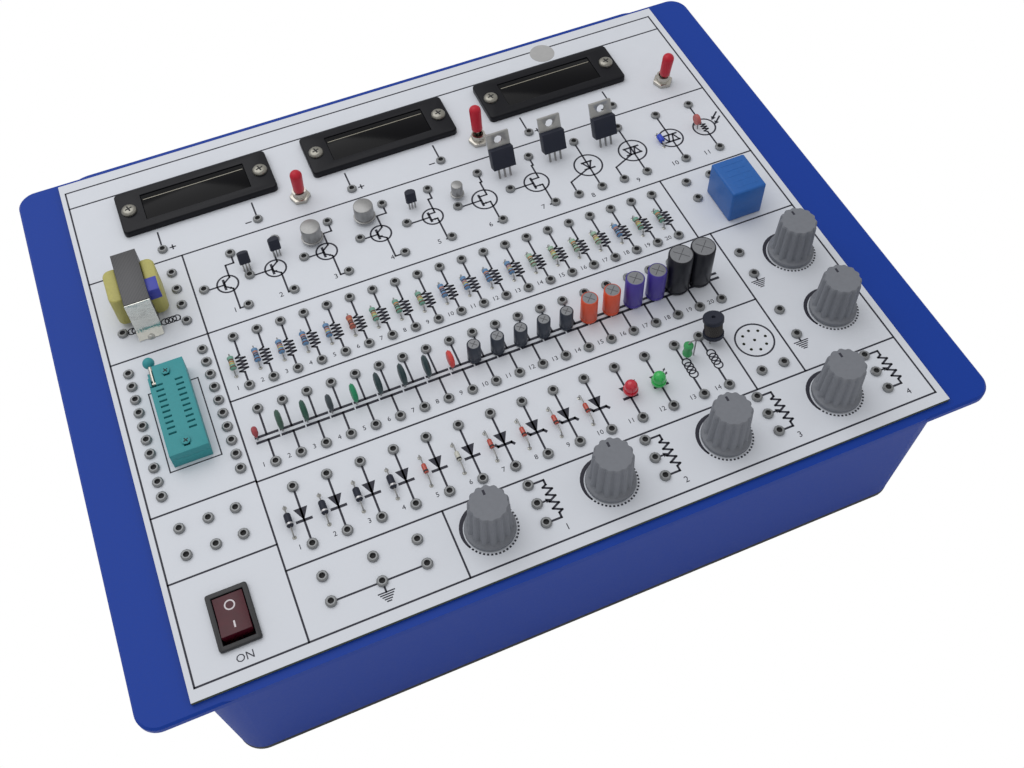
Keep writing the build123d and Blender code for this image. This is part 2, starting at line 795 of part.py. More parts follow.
def make_disc(radius, thickness, stand):
    """A round flat body that stands on edge along Y, on two leads."""
    body = Pos(-thickness / 2, 0, stand + radius) * Rot(0, 90, 0) * prism(radius, thickness, SMALL_SIDES)
    for side in (-1, 1):
        body += leg(0, side * DISC_LEAD_SPREAD / 2, stand + radius)
    return body


def make_electrolytic(size):
    radius, height = size
    body = prism(radius, height, ROUND_SIDES, z=CAN_LIFT)
    for side in (-1, 1):
        body += leg(side * radius / 2, 0, 2 * CAN_LIFT)
    return body


def make_lamp():
    """A brimmed lens with a domed top on two leads."""
    wall_h = LAMP_H - LAMP_DOME_H
    lamp = prism(LAMP_R + LAMP_BRIM, LAMP_BRIM_H, SMALL_SIDES, z=LAMP_STAND)
    lamp += prism(LAMP_R, wall_h, SMALL_SIDES, z=LAMP_STAND)
    lamp += frustum(LAMP_R, LAMP_DOME_R, LAMP_DOME_H, SMALL_SIDES, z=LAMP_STAND + wall_h)
    for side in (-1, 1):
        lamp += leg(side * LAMP_R / 2, 0, LAMP_STAND + LAMP_BRIM_H)
    return lamp


def make_choke():
    """A drum with two rims, wound between them, on two leads."""
    drum = prism(CHOKE_WAIST_R, CHOKE_H, SMALL_SIDES, z=CHOKE_STAND)
    for z in (CHOKE_STAND, CHOKE_STAND + CHOKE_H - CHOKE_RIM_H):
        drum += prism(CHOKE_R, CHOKE_RIM_H, SMALL_SIDES, z=z)
    for side in (-1, 1):
        drum += rooted_leg(side * CHOKE_WAIST_R / 2, CHOKE_STAND)
    return cut_at_panel(tipped(drum, CHOKE_LEAN))


def make_inductor():
    """A body that stands on one lead, with the other lead bent back down beside it."""
    body = prism(INDUCTOR_R, INDUCTOR_L, THIN_SIDES, z=INDUCTOR_STAND)
    top = INDUCTOR_STAND + INDUCTOR_L + INDUCTOR_LOOP_H
    body += leg(0, 0, top) + leg(INDUCTOR_LOOP, 0, top)
    body += hung_block(INDUCTOR_LOOP + LEG_W, LEG_W, LEG_W, INDUCTOR_LOOP / 2, z=top)
    return body


def electrolytic_sizes():
    return SLIM_CANS * [SLIM_CAN_SIZE] + PAIR * [MEDIUM_CAN_SIZE] + PAIR * [TALL_CAN_SIZE] + PAIR * [WIDE_CAN_SIZE]


def component_xs():
    """Each bank component stands a little to the left of its column."""
    return [x - BODY_BACK for x in bank_xs()]


discs = len(DISC_RADII)
nodes["resistors"] = Compound(
    [spot(x, RESISTOR_Y) * make_axial(RESISTOR_R, RESISTOR_L, RESISTOR_LIFT, RESISTOR_SPAN).solid()
     for x in component_xs()])
nodes["disc_capacitors"] = Compound(
    [spot(x, CAPACITOR_Y) * make_disc(r, DISC_T, DISC_STAND).solid()
     for x, r in zip(component_xs(), DISC_RADII)])
nodes["electrolytic_capacitors"] = Compound(
    [spot(x, CAPACITOR_Y) * make_electrolytic(size).solid()
     for x, size in zip(component_xs()[discs:], electrolytic_sizes())])
nodes["small_transistors"] = Compound(
    [spot(x, y) * make_small_transistor(lean).solid()
     for (x, y), lean in zip(SMALL_CASE_SPOTS, SMALL_CASE_LEAN)])
nodes["can_transistors"] = Compound(
    [spot(x, y) * make_can(CAN_R, CAN_H, CAN_STAND).solid() for x, y in CAN_SPOTS]
    + [spot(*MINI_CAN_SPOT) * make_can(MINI_CAN_R, MINI_CAN_H, MINI_CAN_STAND).solid()])
nodes["power_devices"] = Compound([spot(x, y) * make_power_device().solid() for x, y in POWER_SPOTS])
nodes["diac"] = spot(*DIAC_SPOT) * make_axial(DIAC_R, DIAC_L, DIODE_LIFT, DIAC_L + 4.0)
nodes["photocell"] = spot(*PHOTOCELL_SPOT) * make_disc(PHOTOCELL_R, PHOTOCELL_T, PHOTOCELL_STAND)
nodes["diodes"] = Compound(
    [spot(x - DIODE_BACK, DIODE_Y) * make_axial(DIODE_R, DIODE_L, DIODE_LIFT, DIODE_SPAN).solid()
     for x in diode_xs()[:DIODES]])
nodes["indicator_lamps"] = Compound([spot(x, y) * make_lamp().solid() for x, y in LAMP_SPOTS])
nodes["axial_inductor"] = spot(*INDUCTOR_SPOT) * make_inductor()
nodes["drum_choke"] = spot(*CHOKE_SPOT) * make_choke()


def make_relay():
    """A closed case with eased edges on four small feet."""
    case = block(RELAY_W, RELAY_D, RELAY_H - RELAY_STAND, z=RELAY_STAND)
    case = chamfer(case.edges().filter_by(Axis.Z) + case.edges().group_by(Axis.Z)[-1], RELAY_EDGE)
    for x, y in corners(RELAY_W / 2 - RELAY_FOOT_INSET, RELAY_D / 2 - RELAY_FOOT_INSET):
        case += block(RELAY_FOOT_W, RELAY_FOOT_W, RELAY_STAND, x, y)
    return spot(RELAY_X, RELAY_Y) * case


def make_speaker():
    magnet_h = SPEAKER_H / 2
    rim = prism(SPEAKER_R, SPEAKER_H - magnet_h, ROUND_SIDES, z=magnet_h)
    cone_h = SPEAKER_H - magnet_h - SPEAKER_PAPER_T
    rim -= frustum(SPEAKER_CONE_R / 2, SPEAKER_CONE_R, cone_h, ROUND_SIDES, z=SPEAKER_H - cone_h)
    magnet = prism(SPEAKER_R / 2, magnet_h, ROUND_SIDES)
    return spot(SPEAKER_X, SPEAKER_Y, -PANEL_T - SPEAKER_H) * (rim + magnet)


nodes["relay"] = make_relay()
nodes["speaker"] = make_speaker()


# Zero-force socket


def zif_top_z():
    return ZIF_BASE_H + ZIF_GAP


def lever_x():
    return -(ZIF_W - ZIF_NOTCH_W) / 2


def lever_y():
    return ZIF_D / 2 - ZIF_NOTCH_D + ZIF_LEVER_SET


def lever_z():
    return zif_top_z() + ZIF_LEVER_R + FIT_PLAY


def notch(travel=0.0):
    """The corner of both halves that is cut away for the lever, and for the slider's travel."""
    reach = ZIF_NOTCH_D + 2 * FIT_PLAY + travel
    x = -(ZIF_W - ZIF_NOTCH_W + WALL) / 2
    y = (ZIF_D - reach) / 2
    return block(ZIF_NOTCH_W + WALL, reach, ZIF_BASE_H + ZIF_TOP_H, x, y, lever_z() - ZIF_NOTCH_W / 2)


def make_zif_base():
    base = block(ZIF_W, ZIF_D, ZIF_BASE_H) - notch()
    for y in (-ZIF_SCREW_DY, ZIF_SCREW_DY):
        base += prism(ZIF_SCREW_R, ZIF_TOP_H + ZIF_GAP + FIT_PLAY, THIN_SIDES, y=y, z=ZIF_BASE_H)
        head_z = zif_top_z() + ZIF_TOP_H + FIT_PLAY
        base += prism(ZIF_SCREW_HEAD_R, ZIF_SCREW_HEAD_H, SMALL_SIDES, y=y, z=head_z)
    ear_x = lever_x() - (ZIF_NOTCH_W - ZIF_EAR_W) / 2
    base += block(ZIF_EAR_W, 2 * ZIF_EAR_R, lever_z() + ZIF_EAR_R, ear_x, lever_y())
    return spot(ZIF_X, ZIF_Y) * base


def make_zif_slider():
    plate = block(ZIF_W, ZIF_D, ZIF_TOP_H, z=zif_top_z()) - notch(ZIF_TRAVEL)
    top = zif_top_z() + ZIF_TOP_H
    for row in range(ZIF_ROWS):
        y = (row - (ZIF_ROWS - 1) / 2) * ZIF_SLOT_PITCH
        for side in (-1, 1):
            plate -= hung_block(ZIF_SLOT_W, ZIF_SLOT_D, ZIF_SLOT_DEPTH, side * ZIF_ROW_DX, y, top)
    slot_w = 2 * (ZIF_SCREW_R + FIT_PLAY)
    for y in (-ZIF_SCREW_DY, ZIF_SCREW_DY):
        plate -= block(slot_w, slot_w + ZIF_TRAVEL, ZIF_TOP_H, y=y - ZIF_TRAVEL / 2, z=zif_top_z())
    return spot(ZIF_X, ZIF_Y) * plate


def make_zif_lever():
    """An arm with a ball at its end, on a hub that turns beside the ear."""
    arm = Rot(-90, 0, 0) * prism(ZIF_LEVER_R, ZIF_LEVER_L, THIN_SIDES)
    hub = Rot(0, 90, 0) * Cylinder(ZIF_LEVER_R, ZIF_NOTCH_W - ZIF_EAR_W - 2 * FIT_PLAY)
    ball = Pos(0, ZIF_LEVER_L, 0) * faceted_ball(ZIF_BALL_R, SMALL_SIDES, BALL_BANDS)
    return spot(ZIF_X + lever_x() + ZIF_EAR_W / 2, ZIF_Y - lever_y(), lever_z()) * (arm + hub + ball)


nodes["zif_base"] = make_zif_base()
nodes["zif_slider"] = make_zif_slider()
nodes["zif_lever"] = make_zif_lever()


# Mains rocker


def make_rocker_frame():
    frame = rounded_slab(ROCKER_W, ROCKER_D, ROCKER_CORNER_R, ROCKER_FRAME_T)
    frame += hung_block(rocker_body_w(), rocker_body_d(), ROCKER_BODY_H)
    frame -= Box(rocker_pocket_w(), rocker_pocket_d(), 2 * (ROCKER_BODY_H - 2 * ROCKER_FRAME_T))
    return spot(ROCKER_X, ROCKER_Y) * frame


def rocker_pocket_w():
    return rocker_body_w() - 2 * ROCKER_BODY_WALL


def rocker_pocket_d():
    return rocker_body_d() - 2 * ROCKER_BODY_WALL


def rocker_paddle_w():
    return rocker_pocket_w() - 2 * ROCKER_PLAY


def make_rocker_paddle():
    """A paddle with two faces that meet at the pivot line; the back half is pressed in."""
    half = rocker_pocket_d() / 2 - 3 * ROCKER_PLAY
    rise = half * tan(radians(ROCKER_TILT))
    profile = Polyline((-half, rise + ROCKER_CREST), (0, ROCKER_CREST), (half, rise + ROCKER_CREST),
                       (half - ROCKER_NARROW, -ROCKER_SHOULDER), (0, -ROCKER_DEPTH),
                       (ROCKER_NARROW - half, -ROCKER_SHOULDER), close=True)
    paddle = extrude(Plane.YZ * make_face(profile), rocker_paddle_w() / 2, both=True)
    pin = Rot(0, 90, 0) * Cylinder(ROCKER_PIN_R, rocker_paddle_w() + ROCKER_PLAY)
    return spot(ROCKER_X, ROCKER_Y, ROCKER_PIVOT_Z) * tipped(paddle + pin, ROCKER_TILT)


nodes["rocker_frame"] = make_rocker_frame()
nodes["rocker_paddle"] = make_rocker_paddle()


# Potentiometers and knobs


def make_pot_body():
    """A case under the panel with a bush, a nut on top and a bore for the shaft."""
    bush_top = POT_NUT_H + POT_THREAD_H
    body = prism(POT_BODY_R, POT_BODY_H, ROUND_SIDES, z=-PANEL_T - POT_BODY_H)
    body += prism(POT_BUSH_R, PANEL_T + bush_top, ROUND_SIDES, z=-PANEL_T)
    body += prism(POT_NUT_R, POT_NUT_H, HEX_SIDES)
    bore_r = (SHAFT_R + SHAFT_PLAY) / cos(pi / SMALL_SIDES)
    return body - prism(bore_r, pot_depth() + bush_top, SMALL_SIDES, z=-pot_depth())


def pot_depth():
    return POT_BODY_H / 2 + PANEL_T


def make_knob():
    """A skirted, fluted knob with the pot's shaft fixed in it."""
    skirt = prism(KNOB_SKIRT_R, KNOB_SKIRT_H, KNOB_SIDES, z=KNOB_LIFT)
    body_h = KNOB_H - KNOB_SKIRT_H
    body = extrude(fluted_outline(KNOB_R), body_h) & frustum(KNOB_R, KNOB_TOP_R, body_h, 2 * KNOB_FLUTES)
    knob = skirt + Pos(0, 0, KNOB_LIFT + KNOB_SKIRT_H) * body
    knob -= prism(KNOB_RECESS_R, KNOB_RECESS_H, THIN_SIDES, z=KNOB_LIFT)
    foot = pot_depth() - 2 * SHAFT_PLAY
    return knob + post(SHAFT_R, foot + KNOB_LIFT + KNOB_H / 2, z=-foot)


def fluted_outline(radius):
    """A closed outline with one shallow groove for each flute."""
    points = []
    for i in range(2 * KNOB_FLUTES):
        reach = radius - FLUTE_DEPTH * (i % 2)
        turn = pi * i / KNOB_FLUTES
        points.append((reach * cos(turn), reach * sin(turn)))
    return make_face(Polyline(*points, close=True))


nodes["pot_bodies"] = Compound([spot(x, y) * make_pot_body().solid() for x, y in pot_places()])
for number, (x, y) in enumerate(pot_places(), 1):
    nodes[f"knob_{number}"] = spot(x, y) * make_knob()


# Power supply under the panel


def make_mains_core():
    core = block(MAINS_W, MAINS_D, MAINS_H)
    core -= Pos(0, 0, MAINS_H / 2) * Box(MAINS_COIL_W, 2 * MAINS_D, MAINS_COIL_H)
    return Pos(MAINS_X, MAINS_Y, TUB_Z) * core


def make_mains_winding():
    coil = Pos(0, 0, MAINS_H / 2) * Box(MAINS_COIL_W, MAINS_COIL_D, MAINS_COIL_H)
    coil = fillet(coil.edges().filter_by(Axis.Z), 4.0)
    return Pos(MAINS_X, MAINS_Y, TUB_Z) * coil


def make_supply_board():
    board = block(BOARD_W, BOARD_D, BOARD_T, z=STANDOFF_H)
    for x, y in corners(BOARD_W / 2 - STANDOFF_INSET, BOARD_D / 2 - STANDOFF_INSET):
        board += prism(STANDOFF_R, STANDOFF_H, HEX_SIDES, x, y)
    return Pos(BOARD_X - PANEL_W / 2, BOARD_Y - PANEL_D / 2, TUB_Z) * board


def on_supply_board(x, y):
    return Pos(BOARD_X - PANEL_W / 2 + x, BOARD_Y - PANEL_D / 2 + y, TUB_Z + STANDOFF_H + BOARD_T)


def make_heat_sink():
    sink = block(SINK_W, SINK_T, SINK_H) + block(SINK_W, SINK_LIP, SINK_T, y=SINK_LIP / 2)
    for x in (-SINK_W / 4, SINK_W / 4):
        sink += block(POWER_W, POWER_T, POWER_BODY_H, x, -(SINK_T + POWER_T) / 2, SINK_T + POWER_STAND)
    return on_supply_board(SINK_DX, SINK_DY) * sink


def make_smoothers():
    can = prism(SMOOTHER_R, SMOOTHER_H, ROUND_SIDES)
    return Compound([on_supply_board(-SMOOTHER_DX + s * 1.2 * SMOOTHER_R, 0) * can.solid() for s in (-1, 1)])


nodes["mains_core"] = make_mains_core()
nodes["mains_winding"] = make_mains_winding()
nodes["supply_board"] = make_supply_board()
nodes["smoothing_capacitors"] = make_smoothers()
nodes["heat_sink"] = make_heat_sink()


# Export, with the whole part centred over the origin

bounds = Compound([solid for shape in nodes.values() for solid in shape.solids()]).bounding_box()
shift_y = -(bounds.min.Y + bounds.max.Y) / 2
os.makedirs("parts", exist_ok=True)
for name, shape in nodes.items():
    export_step(Pos(0, shift_y, 0) * shape, f"parts/{name}.step")

print("shift_y", round(shift_y, 4), "size", bounds.size, "nodes", len(nodes))
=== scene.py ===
"""Looks of the component trainer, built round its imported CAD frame."""

import json
import logging
from dataclasses import dataclass
from enum import Enum
from math import atan2, cos, pi, radians, sin

import bmesh
import bpy
from mathutils import Euler, Matrix, Vector

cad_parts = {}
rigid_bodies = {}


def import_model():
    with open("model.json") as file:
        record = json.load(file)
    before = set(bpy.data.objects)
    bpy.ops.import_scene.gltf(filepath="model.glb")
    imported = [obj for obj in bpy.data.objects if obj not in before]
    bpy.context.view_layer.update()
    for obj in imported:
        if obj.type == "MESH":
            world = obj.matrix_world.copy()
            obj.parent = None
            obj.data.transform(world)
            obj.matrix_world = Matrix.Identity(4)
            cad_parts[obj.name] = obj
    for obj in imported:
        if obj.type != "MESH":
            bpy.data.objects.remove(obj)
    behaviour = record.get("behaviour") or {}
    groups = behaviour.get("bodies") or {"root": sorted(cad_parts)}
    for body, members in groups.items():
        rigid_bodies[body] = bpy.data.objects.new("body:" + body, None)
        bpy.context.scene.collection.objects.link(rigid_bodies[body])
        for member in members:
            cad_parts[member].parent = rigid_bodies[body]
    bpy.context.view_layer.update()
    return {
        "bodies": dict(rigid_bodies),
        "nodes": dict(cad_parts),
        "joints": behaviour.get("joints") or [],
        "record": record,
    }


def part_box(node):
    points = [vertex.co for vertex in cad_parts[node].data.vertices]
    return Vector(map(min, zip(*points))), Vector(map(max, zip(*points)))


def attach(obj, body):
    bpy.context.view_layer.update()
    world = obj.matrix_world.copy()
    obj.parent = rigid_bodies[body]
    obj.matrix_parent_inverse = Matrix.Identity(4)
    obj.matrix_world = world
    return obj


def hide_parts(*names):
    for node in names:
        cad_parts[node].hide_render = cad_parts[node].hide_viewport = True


log = logging.getLogger("trainer")

MM = 0.001
MERGE = 1e-6
SMOOTH_ANGLE = radians(38)
FLAT_ANGLE = radians(1)
EASE_ANGLE = radians(40)
ROUND_ANGLE = radians(50)
LEAD_R = 0.3
CROSS_LEVEL = 0.93
SIDES = (-1, 1)
ON_EDGE = Euler((0, pi / 2, 0))

Point = tuple[float, float]
Colour = tuple[int, int, int]
Shape = bmesh.types.BMesh


class Grain(Enum):
    """How the tone of a finish changes over its surface."""

    SPECKLE = "speckle"
    STREAK_X = "streak_x"
    STREAK_Z = "streak_z"
    LAYERS = "layers"


@dataclass(frozen=True)
class Finish:
    """A procedural surface: display colours from 0 to 255 and plain shader values."""

    name: str
    colour: Colour
    roughness: float = 0.45
    metallic: float = 0.0
    coat: float = 0.0
    grain: Grain = Grain.SPECKLE
    grain_mm: float = 1.5
    shift: float = 0.08
    bump: float = 0.08
    edge: Colour | None = None
    shine: float = 0.5


BLUE_PAINT = Finish("blue_paint", (8, 58, 156), grain_mm=0.9, shift=0.05, bump=0.10, shine=0.22)
BASE_SHEET = Finish("base_sheet", (40, 42, 46), 0.5, grain_mm=0.7, shift=0.12, bump=0.12)
SCREW_STEEL = Finish("screw_steel", (150, 148, 140), 0.32, 0.9, grain_mm=0.5, shift=0.2)
RUBBER = Finish("rubber", (28, 28, 30), 0.8, grain_mm=0.6, bump=0.2)
BLACK_PLASTIC = Finish("black_plastic", (26, 27, 31), 0.42, grain_mm=0.6, shift=0.15)
PANEL = Finish("panel_laminate", (216, 220, 228), 0.5, grain_mm=6.0, shift=0.02, bump=0.01,
               edge=(92, 98, 72))
INK = Finish("ink", (32, 33, 48), 0.6, grain_mm=0.8, shift=0.15, bump=0.02)
# Painted shade: the dark floor of each socket's bore and the dark cross in each screw head stand
# for the shadow in these holes.
BORE_SHADE = Finish("painted_bore_shade", (30, 30, 32), 0.7, grain_mm=0.4, shift=0.25)
SOCKET_METAL = Finish("socket_metal", (134, 136, 138), 0.42, 0.55, grain_mm=0.5, shift=0.22)
BEZEL = Finish("bezel", (9, 10, 18), 0.35, grain_mm=0.6, shift=0.12, bump=0.05, shine=0.22)
GLASS = Finish("dark_glass", (5, 5, 9), 0.14, grain_mm=12.0, shift=0.2, bump=0.0, shine=0.12)
# Painted highlight: the pale strip laid on each meter window stands for light reflected by the
# glass.
GLASS_HIGHLIGHT = Finish("painted_glass_highlight", (150, 146, 132), 0.3, grain_mm=2.0, shift=0.2)
NICKEL = Finish("nickel", (188, 184, 176), 0.22, 1.0, grain_mm=0.6, shift=0.12)
RED_CAP = Finish("red_cap", (186, 30, 50), 0.38, grain_mm=1.2, shift=0.12, shine=0.3)
LAMINATION = Finish("lamination", (82, 82, 84), 0.42, 0.5, grain=Grain.LAYERS, grain_mm=0.7,
                    shift=0.3, bump=0.15)
COIL_TAPE = Finish("coil_tape", (178, 172, 98), 0.5, grain=Grain.STREAK_Z, grain_mm=0.8, shift=0.15)
BLUE_TAPE = Finish("blue_tape", (58, 66, 170), grain_mm=0.8, shift=0.1)
TIN = Finish("tin", (226, 226, 218), 0.2, 1.0, grain_mm=2.0, shift=0.15, bump=0.9)
LEAD = Finish("lead_wire", (150, 150, 150), 0.35, 0.8, grain_mm=0.5, shift=0.15)
SOLDER = Finish("solder", (176, 176, 172), 0.3, 0.9, grain_mm=0.4, shift=0.2, bump=0.2)
MOULDED = Finish("moulded_black", (34, 38, 52), 0.5, grain_mm=0.4, shift=0.2, bump=0.1, shine=0.3)
CAN_METAL = Finish("can_metal", (150, 150, 150), 0.34, 0.7, grain_mm=0.9, shift=0.15)
TAB_METAL = Finish("tab_metal", (168, 168, 166), 0.3, 0.85, grain=Grain.STREAK_X, grain_mm=0.8,
                   shift=0.15)
PHOTOCELL = Finish("photocell", (176, 88, 84), grain_mm=0.6, shift=0.15)
TRACK = Finish("cell_track", (226, 196, 120), 0.5, grain_mm=0.6, shift=0.1)
RELAY_BLUE = Finish("relay_blue", (34, 96, 172), 0.36, grain_mm=1.6, shift=0.1, shine=0.35)
TEAL = Finish("teal_plastic", (58, 146, 152), 0.48, grain_mm=1.0, bump=0.06, shine=0.3)
ROCKER_RED = Finish("rocker_red", (70, 14, 28), 0.3, grain_mm=3.0, shift=0.3, bump=0.05, shine=0.35)
WHITE_INK = Finish("white_ink", (214, 208, 212), 0.6, grain_mm=0.6, shift=0.06, bump=0.02)
KNOB_GREY = Finish("knob_grey", (120, 123, 130), 0.5, grain_mm=1.4, shift=0.09, shine=0.3)
SLEEVE_TOP = Finish("can_top", (128, 130, 134), 0.4, 0.5, grain_mm=0.8, shift=0.15)
# Painted shade: the dark cross on a can's top stands for the shadow in its scored vent.
VENT_SHADE = Finish("painted_vent_shade", (70, 72, 76), 0.5, grain_mm=0.6, shift=0.15)
BOARD_GREEN = Finish("board_green", (44, 92, 60), grain_mm=1.2, shift=0.2)
PAPER_CONE = Finish("paper_cone", (44, 42, 42), 0.85, grain_mm=0.7, shift=0.25, bump=0.2)
STICKER = Finish("sticker", (172, 172, 172), 0.6, grain_mm=2.0)
DIAC_BLUE = Finish("diac_blue", (40, 70, 190), 0.4, grain_mm=0.8, shift=0.12)
COIL_GREEN = Finish("coil_green", (50, 150, 84), 0.4, grain_mm=0.9, shift=0.1)
WINDING = Finish("winding", (34, 30, 30), 0.35, grain=Grain.LAYERS, grain_mm=0.5, shift=0.3,
                 bump=0.2)
FLOOR_WHITE = Finish("floor_white", (250, 250, 250), 0.9, grain_mm=60.0, shift=0.01, bump=0.0)


def family(kind: str, colours: dict[str, Colour], **looks: float) -> dict[str, Finish]:
    """Finishes that differ only in their colour, by the second word of their names."""
    return {name: Finish(f"{kind}_{name}", colour, **looks) for name, colour in colours.items()}


BODY = family("body", {"mint": (112, 160, 142), "sky": (96, 136, 176), "rust": (170, 92, 78),
                       "pale_green": (150, 182, 160)}, grain_mm=0.9)
BAND = family("band", {"brown": (92, 46, 28), "black": (26, 26, 28), "red": (150, 52, 52),
                       "orange": (186, 116, 66), "yellow": (190, 174, 92),
                       "violet": (96, 74, 130)}, roughness=0.5, grain_mm=0.6)
BAND_PAINTS = tuple(BAND.values())
BAND_SILVER = Finish("band_silver", (190, 190, 192), 0.3, 0.6, grain_mm=0.5)
GLASS_RED = Finish("glass_red", (176, 60, 40), 0.15, coat=0.6, grain_mm=0.8, shift=0.2)
GLASS_CLEAR = Finish("glass_clear", (190, 190, 180), 0.12, coat=0.6, grain_mm=0.8, shift=0.2)
DARK_DIP = family("dip", {"leaf": (62, 90, 78), "moss": (48, 88, 74), "grey": (58, 68, 74),
                          "slate": (46, 64, 68)}, roughness=0.4, grain_mm=1.0, shift=0.15,
                  shine=0.35)
BRIGHT_DIP = family("dip", {"green": (34, 134, 92), "red": (206, 70, 66)}, roughness=0.35,
                    grain_mm=1.0, shift=0.12, shine=0.35)
DIP_RUST = Finish("dip_rust", (160, 70, 76), 0.4, grain_mm=1.0, shift=0.12, shine=0.35)
SLEEVE = family("sleeve", {"orange": (214, 84, 54), "violet": (70, 56, 150)}, roughness=0.35,
                grain_mm=1.2)
SLEEVE_GREY = Finish("sleeve_grey", (50, 56, 68), 0.35, grain_mm=1.2, shift=0.12, shine=0.4)
SLEEVE_BLACK = Finish("sleeve_black", (20, 21, 30), 0.32, grain_mm=1.2, shift=0.15, shine=0.4)
MARK = family("mark", {"pale": (120, 122, 140), "dark": (38, 34, 40)}, roughness=0.5, grain_mm=0.8)
LENS = family("lens", {"red": (196, 36, 56), "green": (46, 178, 84)}, roughness=0.15, coat=0.3,
              grain_mm=1.2, shift=0.12)

# Finishes of the mixed banks, from left to right

RESISTOR_BODIES = [BODY[name] for name in (
    ["mint"] + 4 * ["sky"] + ["rust"] + 3 * ["mint"] + 4 * ["sky"] + 4 * ["pale_green"] + ["sky"]
    + 2 * ["mint"])]
DIODE_BODIES = (4 * [(MOULDED, BAND_SILVER)] + [(GLASS_RED, BAND["black"])]
                + [(GLASS_CLEAR, BAND["black"])] + 4 * [(GLASS_RED, BAND["black"])])
DISC_BODIES = ([DIP_RUST] + [DARK_DIP[name] for name in ("leaf", "moss", "grey")]
               + [BRIGHT_DIP["green"]] + 3 * [DARK_DIP["slate"]] + [BRIGHT_DIP["red"]])
SLEEVES = (5 * [(SLEEVE_GREY, MARK["pale"])] + 2 * [(SLEEVE["orange"], MARK["dark"])]
           + 2 * [(SLEEVE["violet"], MARK["pale"])] + 2 * [(SLEEVE_BLACK, MARK["pale"])])


def linear(colour: Colour, gain: float = 1.0) -> tuple[float, float, float, float]:
    """Display colours from 0 to 255 as a shader's linear values, with an alpha of 1."""
    parts = [min(1.0, gain * ((c / 255 + 0.055) / 1.055) ** 2.4) for c in colour]
    return (*parts, 1.0)


class Paintbox:
    """Makes one material for each finish and hands it out again when asked."""

    rough_low = 0.9
    rough_high = 1.15
    streak = 0.05
    bump_mm = 0.2

    def __init__(self) -> None:
        """Starts with no material made."""
        self.made: dict[str, bpy.types.Material] = {}

    def get(self, finish: Finish) -> bpy.types.Material:
        """Hands out the material of a finish, made on first use.

        Args:
            finish: the colours and shader values.

        Returns:
            The material.
        """
        if finish.name not in self.made:
            self.made[finish.name] = self.mix(finish)
        return self.made[finish.name]

    def mix(self, finish: Finish) -> bpy.types.Material:
        """Builds the nodes of one finish.

        Args:
            finish: the colours and shader values.

        Returns:
            The new material.
        """
        material = bpy.data.materials.new(finish.name)
        material.use_nodes = True
        nodes = material.node_tree.nodes
        links = material.node_tree.links
        shader = nodes["Principled BSDF"]
        shader.inputs["Metallic"].default_value = finish.metallic
        shader.inputs["Coat Weight"].default_value = finish.coat
        shader.inputs["Specular IOR Level"].default_value = finish.shine
        place = nodes.new("ShaderNodeTexCoord")
        scale = nodes.new("ShaderNodeMapping")
        scale.inputs["Scale"].default_value = self.scale_of(finish)
        links.new(place.outputs["Object"], scale.inputs["Vector"])
        grain = self.grain_node(nodes, finish)
        links.new(scale.outputs["Vector"], grain.inputs["Vector"])
        tone = nodes.new("ShaderNodeMix")
        tone.data_type = "RGBA"
        tone.inputs["A"].default_value = linear(finish.colour, 1 - finish.shift)
        tone.inputs["B"].default_value = linear(finish.colour, 1 + finish.shift)
        links.new(grain.outputs["Fac"], tone.inputs["Factor"])
        colour = tone.outputs["Result"]
        if finish.edge:
            colour = self.edge_mix(material.node_tree, place, colour, finish.edge)
        links.new(colour, shader.inputs["Base Color"])
        rough = nodes.new("ShaderNodeMapRange")
        rough.inputs["To Min"].default_value = finish.roughness * self.rough_low
        rough.inputs["To Max"].default_value = min(1.0, finish.roughness * self.rough_high)
        links.new(grain.outputs["Fac"], rough.inputs["Value"])
        links.new(rough.outputs["Result"], shader.inputs["Roughness"])
        if finish.bump:
            bump = nodes.new("ShaderNodeBump")
            bump.inputs["Strength"].default_value = finish.bump
            bump.inputs["Distance"].default_value = self.bump_mm * MM
            links.new(grain.outputs["Fac"], bump.inputs["Height"])
            links.new(bump.outputs["Normal"], shader.inputs["Normal"])
        return material

    def scale_of(self, finish: Finish) -> Vector:
        """The texture's scale along each axis, drawn out along a streak."""
        drawn = {Grain.STREAK_X: (self.streak, 1, 1), Grain.STREAK_Z: (1, 1, self.streak)}
        return Vector(drawn.get(finish.grain, (1, 1, 1))) * (1 / (finish.grain_mm * MM))

    def grain_node(self, nodes: bpy.types.Nodes, finish: Finish) -> bpy.types.Node:
        """Makes the texture node: bands for layers, otherwise noise.

        Args:
            nodes: the material's nodes.
            finish: the finish with its grain.

        Returns:
            The texture node.
        """
        layers = finish.grain is Grain.LAYERS
        texture = nodes.new("ShaderNodeTexWave" if layers else "ShaderNodeTexNoise")
        values = {"Scale": 0.4, "Distortion": 0.6} if layers else {"Scale": 1.0, "Detail": 3.0}
        for name, value in values.items():
            texture.inputs[name].default_value = value
        return texture

    def edge_mix(self, tree: bpy.types.NodeTree, place: bpy.types.Node,
                 face: bpy.types.NodeSocket, edge: Colour) -> bpy.types.NodeSocket:
        """Gives the faces that don't look up the colour of a cut edge.

        Args:
            tree: the material's node tree.
            place: the node of texture coordinates.
            face: the colour of the faces that look up.
            edge: the colour of the others.

        Returns:
            The mixed colour.
        """
        nodes, links = tree.nodes, tree.links
        parts = nodes.new("ShaderNodeSeparateXYZ")
        links.new(place.outputs["Normal"], parts.inputs["Vector"])
        up = nodes.new("ShaderNodeMath")
        up.operation = "GREATER_THAN"
        up.inputs[1].default_value = 0.5
        links.new(parts.outputs["Z"], up.inputs[0])
        mix = nodes.new("ShaderNodeMix")
        mix.data_type = "RGBA"
        mix.inputs["A"].default_value = linear(edge)
        links.new(up.outputs["Value"], mix.inputs["Factor"])
        links.new(face, mix.inputs["B"])
        return mix.outputs["Result"]


PAINT = Paintbox()


